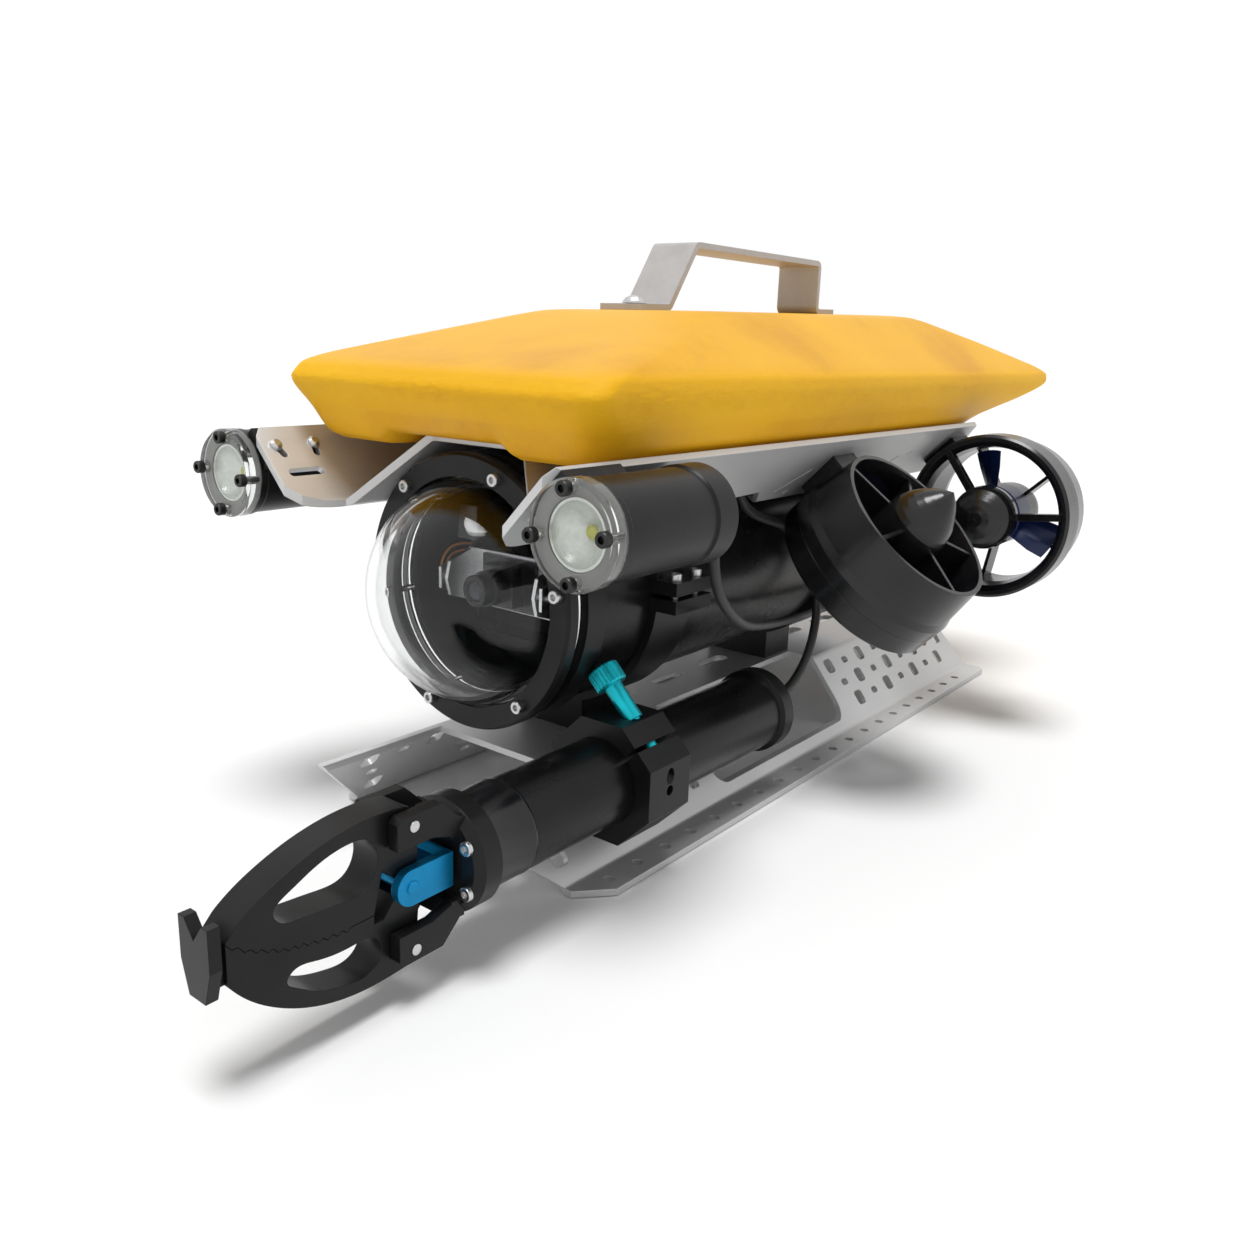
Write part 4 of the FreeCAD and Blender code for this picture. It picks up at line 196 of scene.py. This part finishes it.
def sheet_metal(name, tone, rough):
    """Rolled aluminium sheet: long grain and slight cloudiness."""
    f = Finish(name)
    grain = f.noise(1.0, 3.0, 0.5, f.stretched((14.0, 900.0, 900.0)))
    cloud = f.noise(18.0, 5.0)
    shade = cloud * 0.7 + grain * 0.3
    f.set(Base_Color=f.ramp(shade, [(0.3, (tone * 0.88,) * 3), (0.7, (tone,) * 3)]),
          Roughness=rough + (grain - 0.5) * 0.12 + (cloud - 0.5) * 0.12, Metallic=0.45)
    f.bump(grain, 0.12, 0.0002, 0.0004)
    return f.material


def satin_paint(name, colour, rough=0.38):
    """Painted metal: even colour with a fine texture and slight dirt."""
    f = Finish(name)
    dirt = f.noise(60.0, 6.0, 0.7)
    speck = f.noise(900.0, 2.0)
    dull = tuple(c * 0.86 for c in colour)
    f.set(Base_Color=f.ramp(dirt, [(0.3, dull), (0.62, colour)]),
          Roughness=rough + dirt * 0.12, Metallic=0.15)
    f.bump(speck, 0.1, 0.0003, 0.0005)
    return f.material


def steel(name, tone=0.62, rough=0.24):
    """Machined stainless steel."""
    f = Finish(name)
    turn = f.noise(700.0, 3.0)
    f.set(Base_Color=f.ramp(turn, [(0.3, (tone * 0.8,) * 3), (0.7, (tone,) * 3)]),
          Roughness=rough + turn * 0.12, Metallic=1.0)
    f.bump(turn, 0.06, 0.0002, 0.0003)
    return f.material


def anodised(name, colour, rough):
    """Bright coloured anodising with a machined grain."""
    f = Finish(name)
    grain = f.noise(1.0, 3.0, 0.5, f.stretched((1500.0, 400.0, 400.0)))
    cloud = f.noise(90.0, 4.0)
    dark = tuple(c * 0.7 for c in colour)
    f.set(Base_Color=f.ramp(cloud, [(0.3, dark), (0.7, colour)]),
          Roughness=rough + grain * 0.14, Metallic=0.75)
    f.bump(grain, 0.08, 0.0002, 0.0004)
    return f.material


def foam_paint(name):
    """Thick yellow paint over foam: warm colour drift, a fine tooth, torn ridges near the widest line, where
    belt is 1, and painted shade: the colour darkened in patches around that line."""
    f = Finish(name)
    height = (f.axis("Z") - CROWN_Z) / (FLOAT_BELT_RISE * MM)
    belt = (1.0 - (height - 1.0) * (height - 1.0) * 3.2).high(0.0)
    drift = f.noise(9.0, 5.0)
    fine = f.noise(320.0, 6.0, 0.7)
    torn = f.noise(1.0, 8.0, 0.74, f.stretched((150.0, 150.0, 420.0)))
    # painted shade: noise patches around the widest line darken the yellow, standing in for the shade on the
    # float's sides
    painted_shade = f.noise(34.0, 7.0, 0.75)
    tone = drift * 0.6 + fine * 0.1 + belt * torn * 0.3 - (painted_shade * belt - 0.45).high(0.0) * 0.7
    yellows = [(0.2, (0.66, 0.29, 0.004)), (0.34, (0.84, 0.43, 0.006)),
               (0.5, (0.90, 0.485, 0.008)), (0.72, (0.92, 0.53, 0.014))]
    f.set(Base_Color=f.ramp(tone, yellows),
          Roughness=0.36 + fine * 0.16 + belt * 0.12, Specular_IOR_Level=0.22)
    f.bump(fine * 0.2 + torn * belt * 1.4, 0.55, 0.0010)
    return f.material


def clear_plastic(name, rough=0.02, tint=(0.97, 0.98, 0.985), ior=1.3):
    """Polished clear acrylic with faint handling marks."""
    f = Finish(name)
    marks = f.noise(70.0, 6.0, 0.7)
    worn = tuple(c * 0.985 for c in tint)
    f.set(Base_Color=f.ramp(marks, [(0.4, tint), (0.8, worn)]),
          Roughness=rough + marks * 0.02, Transmission_Weight=1.0, IOR=ior)
    f.bump(marks, 0.02, 0.0003)
    return f.material


def bright_bowl(name):
    """Pale frosted reflector."""
    f = Finish(name)
    frost = f.noise(500.0, 4.0)
    f.set(Base_Color=f.ramp(frost, [(0.3, (0.72, 0.74, 0.72)), (0.7, (0.86, 0.87, 0.84))]),
          Roughness=0.22 + frost * 0.2, Metallic=0.55)
    f.bump(frost, 0.12, 0.0004)
    return f.material


def rubber(name, tone=0.01):
    """Black cable jacket with a dull bloom."""
    f = Finish(name)
    bloom = f.noise(140.0, 5.0)
    f.set(Base_Color=f.ramp(bloom, [(0.3, (tone,) * 3), (0.8, (tone * 2.2,) * 3)]),
          Roughness=0.42 + bloom * 0.2)
    f.bump(bloom, 0.15, 0.0003)
    return f.material


def board_green(name):
    """Circuit board lacquer with a fine track pattern."""
    f = Finish(name)
    tracks = f.add("ShaderNodeTexBrick", {}, {"Vector": f.place, "Scale": 160.0, "Mortar Size": 0.02})["Fac"]
    cloud = f.noise(80.0)
    shade = tracks * 0.4 + cloud * 0.6
    f.set(Base_Color=f.ramp(shade, [(0.3, (0.01, 0.09, 0.04)), (0.8, (0.03, 0.2, 0.09))]),
          Roughness=0.35 + cloud * 0.2)
    f.bump(tracks, 0.2, 0.0003)
    return f.material


BLACK_TUBE = black_anodised("black_anodised_tube", 0.006, 0.27)
BLACK_PART = black_anodised("black_anodised_parts", 0.008, 0.33)
BLACK_MOULD = moulded_black("black_moulding", 0.22)
SHEET = sheet_metal("sheet_aluminium", 0.68, 0.42)
FOAM = foam_paint("yellow_float_paint")
GREY_PAINT = satin_paint("grey_handle_paint", (0.5, 0.485, 0.48))
STEEL = steel("stainless_steel")
BLACK_STEEL = steel("black_oxide_steel", 0.05, 0.35)
BRACKET = steel("brushed_bracket", 0.7, 0.3)
BLUE_BLADE = satin_paint("dark_blue_blades", (0.006, 0.022, 0.115), 0.26)
LINK_BLUE = anodised("link_blue", (0.003, 0.26, 0.54), 0.3)
TEAL = anodised("teal_anodising", (0.01, 0.62, 0.73), 0.24)
DOME_CLEAR = clear_plastic("dome_acrylic")
LENS_CLEAR = clear_plastic("lamp_window", 0.03, (0.9, 0.92, 0.9), 1.45)
BOWL = bright_bowl("frosted_bowl")
JACKET = rubber("cable_jacket")
SEAL = rubber("seal_rubber", 0.006)
GREEN = board_green("board_lacquer")
WRAP = satin_paint("battery_wrap", (0.02, 0.03, 0.12))
EMITTER = satin_paint("yellow_emitter", (0.72, 0.70, 0.07), 0.5)
FROST = satin_paint("frosted_ring", (0.30, 0.30, 0.29), 0.5)
GLASS_EYE = clear_plastic("camera_glass", 0.01, (0.05, 0.05, 0.12), 1.5)
ORANGE_WIRE = satin_paint("orange_wire", (0.62, 0.20, 0.02), 0.45)
BAND = moulded_black("plain_band", 0.2)


def dress():
    """Gives every carried-over solid its finish."""
    exact = {"bottom_frame": SHEET, "top_frame": SHEET, "carry_handle": GREY_PAINT,
             "enclosure_tube": BLACK_TUBE, "gripper_tube": BLACK_TUBE, "enclosure_seals": SEAL,
             "viewing_dome": DOME_CLEAR,
             "camera_frame": BRACKET, "camera_cradle": BRACKET, "control_board": GREEN, "battery_pack": WRAP,
             "lamp_reflectors": BOWL, "lamp_lens_screws": BLACK_STEEL, "port_lamp_lens": LENS_CLEAR,
             "starboard_lamp_lens": LENS_CLEAR, "drive_link": LINK_BLUE, "thumbscrew": TEAL,
             "float_block": FOAM, "gripper_cable": JACKET, "port_lamp_cable": JACKET}
    for name in ("handle_bolts", "dome_screws", "rear_cap_screws", "clamp_screws", "wing_screws",
                 "gripper_head_screws", "gripper_pins"):
        exact[name] = STEEL
    for name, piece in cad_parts.items():
        finish = exact.get(name)
        if finish is None and name.endswith("propeller"):
            finish = BLUE_BLADE
        if finish is None and name.endswith(("duct", "guard", "servo", "module")):
            finish = BLACK_MOULD
        piece.data.materials.clear()
        piece.data.materials.append(finish or BLACK_PART)


# ---- surfaces from formulas -------------------------------------------------------------------------
def grid_mesh(name, points, finish, body):
    """A mesh from a (rows, columns, 3) array of points; each row closes on itself."""
    rows, columns = points.shape[:2]
    index = np.arange(rows * columns).reshape(rows, columns)
    r = np.arange(rows - 1)
    c = np.arange(columns)
    a = index[r[:, None], c[None, :]]
    b = index[r[:, None], (c[None, :] + 1) % columns]
    d = index[r[:, None] + 1, c[None, :]]
    e = index[r[:, None] + 1, (c[None, :] + 1) % columns]
    faces = np.stack([a, b, e, d], -1).reshape(-1, 4)
    mesh = bpy.data.meshes.new(name)
    mesh.from_pydata(points.reshape(-1, 3).tolist(), [], faces.tolist())
    return finish_mesh(name, mesh, finish, body)


def finish_mesh(name, mesh, finish, body):
    """Merges doubles, turns the faces outwards and puts the piece on its body."""
    work = bmesh.new()
    work.from_mesh(mesh)
    bmesh.ops.remove_doubles(work, verts=work.verts, dist=1e-6)
    bmesh.ops.dissolve_degenerate(work, edges=work.edges, dist=1e-7)
    bmesh.ops.recalc_face_normals(work, faces=work.faces)
    work.to_mesh(mesh)
    work.free()
    mesh.polygons.foreach_set("use_smooth", np.full(len(mesh.polygons), True))
    piece = bpy.data.objects.new(name, mesh)
    bpy.context.scene.collection.objects.link(piece)
    mesh.materials.append(finish)
    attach(piece, body)
    return piece


def lathe(name, profile, centre, finish, body, steps):
    """A profile of (distance forward, radius) in millimetres, carried round an axis that points forward:
    point = centre + distance * axis + radius * spoke, with spoke = cos(turn) * side + sin(turn) * other."""
    profile = np.array([(a * MM, b * MM) for a, b in profile])
    axis = np.array((1.0, 0.0, 0.0))
    side = np.array((0.0, -1.0, 0.0))
    other = np.array((0.0, 0.0, -1.0))
    turn = np.linspace(0, 2 * np.pi, steps, endpoint=False)
    spoke = np.cos(turn)[:, None] * side + np.sin(turn)[:, None] * other
    along, out = profile[:, 0, None, None], profile[:, 1, None, None]
    points = np.array(centre, float) + along * axis + out * spoke[None]
    return grid_mesh(name, points, finish, body)


def rounded(levels, share, count):
    """A broken line of control rows with its corners rounded: each corner becomes a quadratic arc that starts
    and ends at a share of the way to its neighbours."""
    levels = np.array(levels, float)
    rows = [levels[:1]]
    t = np.linspace(0, 1, count)[:, None]
    for before, here, after in zip(levels[:-2], levels[1:-1], levels[2:]):
        start = here + (before - here) * share
        end = here + (after - here) * share
        rows.append((1 - t) ** 2 * start + 2 * t * (1 - t) * here + t ** 2 * end)
    rows.append(levels[-1:])
    return np.concatenate(rows)


def denser(rows, column, low, high, step):
    """Adds evenly spaced rows wherever one column's value lies between low and high."""
    path = [rows[0]]
    for before, after in zip(rows[:-1], rows[1:]):
        inside = min(before[column], after[column]) < high and max(before[column], after[column]) > low
        parts = max(1, int(np.ceil(np.abs(after[column] - before[column]) / step))) if inside else 1
        for k in range(1, parts + 1):
            path.append(before + (after - before) * k / parts)
    return np.array(path)


def ripple(x, y, z, wave, seed):
    """Smooth random height from a sum of sines in turned directions, roughly within -1 to 1."""
    pick = np.random.default_rng(seed)
    total = np.zeros_like(x)
    for _ in range(10):
        direction = pick.normal(size=3)
        direction /= np.linalg.norm(direction)
        size = wave * pick.uniform(0.6, 1.7)
        along = x * direction[0] + y * direction[1] + z * direction[2]
        total += np.sin(along * 2 * np.pi / size + pick.uniform(0, 6.3))
    return total / 4.0


def rounded_rings(rows, side, end, arc):
    """Rings of a rectangle with round corners, one for each row of (rise, rear, front, half width, radius).
    Corner point = corner centre + radius * (cos, sin); the sides run straight between the corner ends.
    Returns x, y and the outward direction of each column."""
    sign_x, sign_y = np.array([1, -1, -1, 1.0]), np.array([1, 1, -1, -1.0])
    columns = []
    for k in range(4):
        columns += [(k, k, (k + a) * 90, 0) for a in np.linspace(0, 1, arc, endpoint=False)]
        count = side if k % 2 == 0 else end
        columns += [(k, (k + 1) % 4, (k + 1) * 90, t) for t in np.linspace(0, 1, count, endpoint=False)]
    first, last, turn, share = np.array(columns).T
    first, last = first.astype(int), last.astype(int)
    cos, sin = np.cos(np.radians(turn)), np.sin(np.radians(turn))
    rear, front, half, radius = [rows[:, k][:, None] for k in range(1, 5)]
    middle, reach = (front + rear) / 2, (front - rear) / 2 - radius
    x0, x1 = middle + sign_x[first] * reach, middle + sign_x[last] * reach
    y0, y1 = sign_y[first] * (half - radius), sign_y[last] * (half - radius)
    return x0 + (x1 - x0) * share + radius * cos, y0 + (y1 - y0) * share + radius * sin, cos, sin


def float_surface():
    """Foam float, in millimetres above the crown and forward of the ring's face: rings of a round-cornered
    rectangle, stacked from the base over the widest line to the top. The base dips into the valleys by a
    smooth step in |y|. Along the widest line the paint is torn into short ridges: a ripple of two sizes, cut
    off below, and faded up and down by a bell curve of the height."""
    #         rise    rear    front  half  corner
    levels = [(0.3, -170.0, -166.0, 1.0, 0.5),
              (0.0, -342.0, 4.0, 79.0, 16.0),
              (2.5, -356.0, 13.0, 84.5, 18.0),
              (11.0, -412.0, 19.0, 88.0, 15.0),
              (21.5, -471.0, 25.5, 91.0, 11.0),
              (30.0, -471.8, 17.0, 89.5, 12.0),
              (43.0, -404.0, -38.0, 70.0, 20.0),
              (54.3, -342.0, -84.0, 51.0, 26.0),
              (55.2, -322.0, -102.0, 40.0, 22.0),
              (55.2, -214.0, -210.0, 1.0, 0.5)]
    rows = denser(rounded(levels, share=0.3, count=6), column=0, low=9.0, high=29.0, step=0.7)
    x, y, cos, sin = rounded_rings(rows, side=330, end=130, arc=26)
    rise = rows[:, 0][:, None] + 0 * x
    # the top rises gently towards the rear
    top_front, top_length, top_tilt = -88.0, 247.0, 6.0
    tilt = top_tilt * np.clip((rise - 30.0) / 25.0, 0, 1) * np.clip((top_front - x) / top_length, 0, 1)
    # the base reaches down into the valleys
    valley_dip = 5.4
    across = np.abs(y)
    keel = np.clip((across - 31.0) / 9.0, 0, 1) * np.clip((86.0 - across) / 10.0, 0, 1)
    keel = keel * keel * (3 - 2 * keel)
    low = np.clip(1.0 - rise / 13.0, 0, 1) ** 1.5
    z = rise + tilt - valley_dip * keel * low
    # torn paint along the widest line, strongest at the front
    belt, fade_down, fade_up = 20.5, 3.2, 4.5
    band = np.exp(-np.where(rise < belt, (rise - belt) / fade_down, (rise - belt) / fade_up) ** 2)
    patchy = np.clip(0.55 + 0.6 * ripple(x, y, z, 60.0, 4), 0.1, 1) * np.clip((x + 210.0) / 160.0, 0.25, 1)
    coarse = ripple(x * 0.8, y * 0.8, z * 2.6, 5.5, 3) * 0.5
    torn = np.maximum(coarse + ripple(x, y, z * 2.2, 2.6, 5) * 0.42, -0.35)
    # slow unevenness of the faces, and all of it pushed outwards
    soft = ripple(x, y, z, 75.0, 8) * 0.45 * np.clip(rise / 10.0, 0, 1) * np.clip((52.0 - rise) / 10.0, 0, 1)
    push = torn * band * patchy * 0.75 - 0.5 * band + soft - 0.45
    x = x + push * cos * np.clip(rise / 3.0, 0, 1)
    y = y + push * sin * np.clip(rise / 3.0, 0, 1)
    z = z + torn * band * patchy * 0.35
    points = np.stack([x * MM + RING_X, y * MM, z * MM + CROWN_Z], -1)
    piece = grid_mesh("float_shell", points, FOAM, "vehicle")
    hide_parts("float_block")


def cable(name, route, node, thick=CABLE_RADIUS, finish=None):
    """A cable along its route: one smooth curve with the route's points as its control points. A node,
    where given, is the solid that it stands for."""
    curve = bpy.data.curves.new(name, "CURVE")
    curve.dimensions = "3D"
    spline = curve.splines.new("NURBS")
    spline.points.add(len(route) - 1)
    for point, place in zip(spline.points, route):
        point.co = (*place, 1.0)
    spline.order_u = 3
    spline.use_endpoint_u = True
    curve.resolution_u = 8
    curve.bevel_depth = thick
    curve.bevel_resolution = 5
    curve.use_fill_caps = True
    piece = bpy.data.objects.new(name, curve)
    bpy.context.scene.collection.objects.link(piece)
    curve.materials.append(finish or JACKET)
    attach(piece, "vehicle")
    if node:
        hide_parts(node)
    return piece


def from_ring(points):
    """Points given in millimetres forward of the ring face, made places in metres."""
    return [(RING_X + x * MM, y * MM, z * MM) for x, y, z in points]


def cables():
    """The gripper's cable and the port lamp's cable."""
    gripper = [(-148.0, 67.5, 43.8), (-161.0, 67.5, 43.8), (-176.0, 69.0, 51.0), (-186.0, 71.0, 68.0),
               (-194.0, 68.5, 91.0), (-187.0, 65.8, 113.0), (-171.7, 59.0, 131.6), (-150.0, 58.8, 137.0),
               (-133.0, 58.0, 143.0), (-124.0, 57.6, 153.0), (-120.5, 57.0, 163.0), (-128.5, 56.6, 170.0),
               (-141.5, 56.8, 168.6), (-158.0, 57.2, 164.0), (-185.0, 57.0, 160.0), (-233.0, 57.6, 158.0),
               (-288.0, 57.0, 158.6), (-328.0, 57.4, 158.0), (-351.0, 57.0, 158.2), (-368.0, 56.6, 156.5),
               (-381.0, 53.0, 150.5), (-386.0, 46.0, 140.0), (-380.0, 38.0, 131.0), (-366.0, 32.5, 127.2),
               (-344.0, 30.49, 126.63), (-328.0, 30.49, 126.63)]
    lamp = [(-32.0, 100.2, 158.7), (-38.0, 100.2, 158.7), (-43.5, 97.8, 147.0), (-47.0, 95.5, 134.0),
            (-55.0, 94.0, 120.0), (-72.0, 90.0, 108.0), (-98.0, 81.0, 97.0), (-128.0, 71.0, 89.0),
            (-162.0, 64.0, 83.0), (-205.0, 59.5, 80.0), (-255.0, 58.4, 79.0), (-300.0, 58.6, 80.0),
            (-330.0, 58.0, 82.0), (-348.0, 56.0, 84.5), (-360.0, 49.5, 89.0), (-363.0, 40.5, 95.0),
            (-356.0, 33.5, 100.0), (-344.0, 30.49, 101.37), (-328.0, 30.49, 101.37)]
    cable("gripper_cable_run", from_ring(gripper), "gripper_cable")
    cable("port_lamp_cable_run", from_ring(lamp), "port_lamp_cable")


def gripper_band():
    """Plain dark band round the front of the gripper tube, with a raised rim line at each edge."""
    rear, front, wall = 45.0, 65.0, 18.62
    under, high, low = wall - 0.3, wall + 0.25, wall + 0.12
    profile = [(rear, under), (rear, high), (rear + 1.2, high), (rear + 1.6, low), (front - 1.6, low),
               (front - 1.2, high), (front, high), (front, under), (rear, under)]
    place = (RING_X, GRIP_Y, GRIP_Z)
    lathe("gripper_band", profile, place, BAND, "vehicle", 96)


def lamp_details():
    """For both lamps: the frosted ring behind the window and the yellow emitter in the bowl."""
    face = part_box("port_lamp_lens")[0].x
    z = 0.5 * (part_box("port_lamp_lens")[0].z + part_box("port_lamp_lens")[1].z)
    side = 0.5 * (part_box("port_lamp_lens")[0].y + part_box("port_lamp_lens")[1].y)
    ring = [(0.05, 12.7), (0.05, 18.6), (0.35, 18.8), (0.6, 18.6), (0.6, 13.1), (0.35, 12.7), (0.05, 12.7)]
    dome = [(-8.2, 0.0), (-8.2, 2.6), (-7.6, 2.5), (-7.0, 1.9), (-6.7, 1.0), (-6.6, 0.0)]
    for name, y in (("port", side), ("starboard", -side)):
        place = (face, y, z)
        lathe(name + "_frosted_ring", ring, place, FROST, "vehicle", 64)
        lathe(name + "_emitter", dome, place, EMITTER, "vehicle", 32)


def dome_surface():
    """Clear dome: the two arcs of a shell, along = R cos t and radius = R sin t, joined by the foot that the
    retainer ring holds."""
    outer, inner, foot, foot_thick, edge = 50.0, 46.0, 56.0, 6.0, 0.4
    seat = 49.64
    start = np.arcsin(seat / outer)
    shell = [(outer * np.cos(t), outer * np.sin(t)) for t in np.linspace(0, start, 64)]
    back = [(inner * np.cos(t), inner * np.sin(t)) for t in np.linspace(np.pi / 2, 0, 64)]
    rim = [(foot_thick, foot - edge), (foot_thick - edge, foot), (edge, foot), (0.0, foot - edge)]
    profile = shell + rim + back
    place = (RING_X - DOME_BACK * MM, 0.0, AXIS_Z)
    piece = lathe("clear_dome", profile, place, DOME_CLEAR, "vehicle", 160)
    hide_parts("viewing_dome")


def camera_eye():
    """Glass front of the camera's lens, and a dark ring round it."""
    low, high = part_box("camera_module")
    place = (high.x, 0.0, 0.5 * (low.z + high.z))
    glass = [(-1.2, 0.0), (-1.2, 4.9), (-0.8, 4.9), (-0.3, 3.6), (0.0, 1.8), (0.1, 0.0)]
    ring = [(0.0, 5.1), (0.0, 6.8), (0.3, 6.8), (0.3, 5.1), (0.0, 5.1)]
    lathe("camera_glass", glass, place, GLASS_EYE, "camera_tilt", 48)
    lathe("camera_ring", ring, place, BLACK_STEEL, "camera_tilt", 48)


def wires():
    """Thin orange wires beside the camera brackets, inside the dome's flange. Each point's height is above
    the tube's axis."""
    loops = [[(-41.0, -33.0, 12.0), (-32.0, -38.5, 14.0), (-24.0, -40.5, 6.0), (-25.0, -40.5, -6.0),
              (-35.0, -37.0, -14.0), (-42.0, -32.0, -18.0)],
             [(-41.0, -34.0, 9.0), (-33.0, -40.0, 10.0), (-27.0, -41.5, 2.0), (-30.0, -40.0, -8.0),
              (-42.0, -34.0, -13.0)],
             [(-41.0, 20.0, 30.0), (-33.0, 24.0, 33.0), (-26.0, 30.0, 26.0), (-32.0, 33.0, 18.0),
              (-42.0, 33.0, 10.0)]]
    for number, loop in enumerate(loops):
        points = [(x, y, z + AXIS_Z / MM) for x, y, z in loop]
        cable(f"orange_wire_{number + 1}", from_ring(points), None, 0.55 * MM, ORANGE_WIRE)


def lighting():
    """High soft sun, a little ahead, a surround that looks white and lights softly, and a pale floor."""
    sun = bpy.data.lights.new("high_sun", "SUN")
    sun.energy = 2.3
    sun.angle = math.radians(24.0)
    high = bpy.data.objects.new("high_sun", sun)
    high.rotation_euler = Vector((0.15, 0.08, 1.0)).to_track_quat("Z", "Y").to_euler()
    bpy.context.scene.collection.objects.link(high)
    world = bpy.data.worlds.new("studio")
    bpy.context.scene.world = world
    world.use_nodes = True
    tree = world.node_tree
    background = tree.nodes["Background"]
    path = tree.nodes.new("ShaderNodeLightPath")
    seen = Wire(tree, path.outputs["Is Camera Ray"]).high(Wire(tree, path.outputs["Is Transmission Ray"]))
    seen = seen.high(Wire(tree, path.outputs["Is Glossy Ray"]))
    background.inputs["Color"].default_value = (1, 1, 1, 1)
    lit = 0.42
    tree.links.new((lit + seen * (1.0 - lit)).socket, background.inputs["Strength"])
    floor = bpy.data.meshes.new("floor")
    half, low = 30.0, -0.5 * MM
    corners = [(-half, -half, low), (half, -half, low), (half, half, low), (-half, half, low)]
    floor.from_pydata(corners, [], [(0, 1, 2, 3)])
    sheet = bpy.data.objects.new("floor", floor)
    bpy.context.scene.collection.objects.link(sheet)
    f = Finish("pale_floor")
    cloud = f.noise(3.0)
    f.set(Base_Color=f.ramp(cloud, [(0.3, (0.94, 0.94, 0.94)), (0.7, (0.96, 0.96, 0.96))]), Roughness=0.8)
    floor.materials.append(f.material)


def camera():
    """The camera, close in front of the port bow at about the float's height."""
    eye = Vector((RING_X + 0.3089, 0.3244, AXIS_Z + 0.1084))
    look = bpy.data.cameras.new("camera")
    look.sensor_width = 36.0
    look.lens = 31.19
    look.clip_start = 0.01
    view = bpy.data.objects.new("camera", look)
    view.location = eye
    right = Vector((-0.6213, 0.7829, 0.0334)).normalized()
    back = Vector((0.763, 0.5947, 0.2534)).normalized()
    up = back.cross(right).normalized()
    right = up.cross(back).normalized()
    view.rotation_euler = Matrix((right, up, back)).transposed().to_euler()
    bpy.context.scene.collection.objects.link(view)
    bpy.context.scene.camera = view


bpy.context.scene.view_settings.view_transform = "Standard"
dress()
float_surface()
cables()
gripper_band()
lamp_details()
dome_surface()
camera_eye()
wires()
lighting()
camera()
bpy.context.view_layer.update()
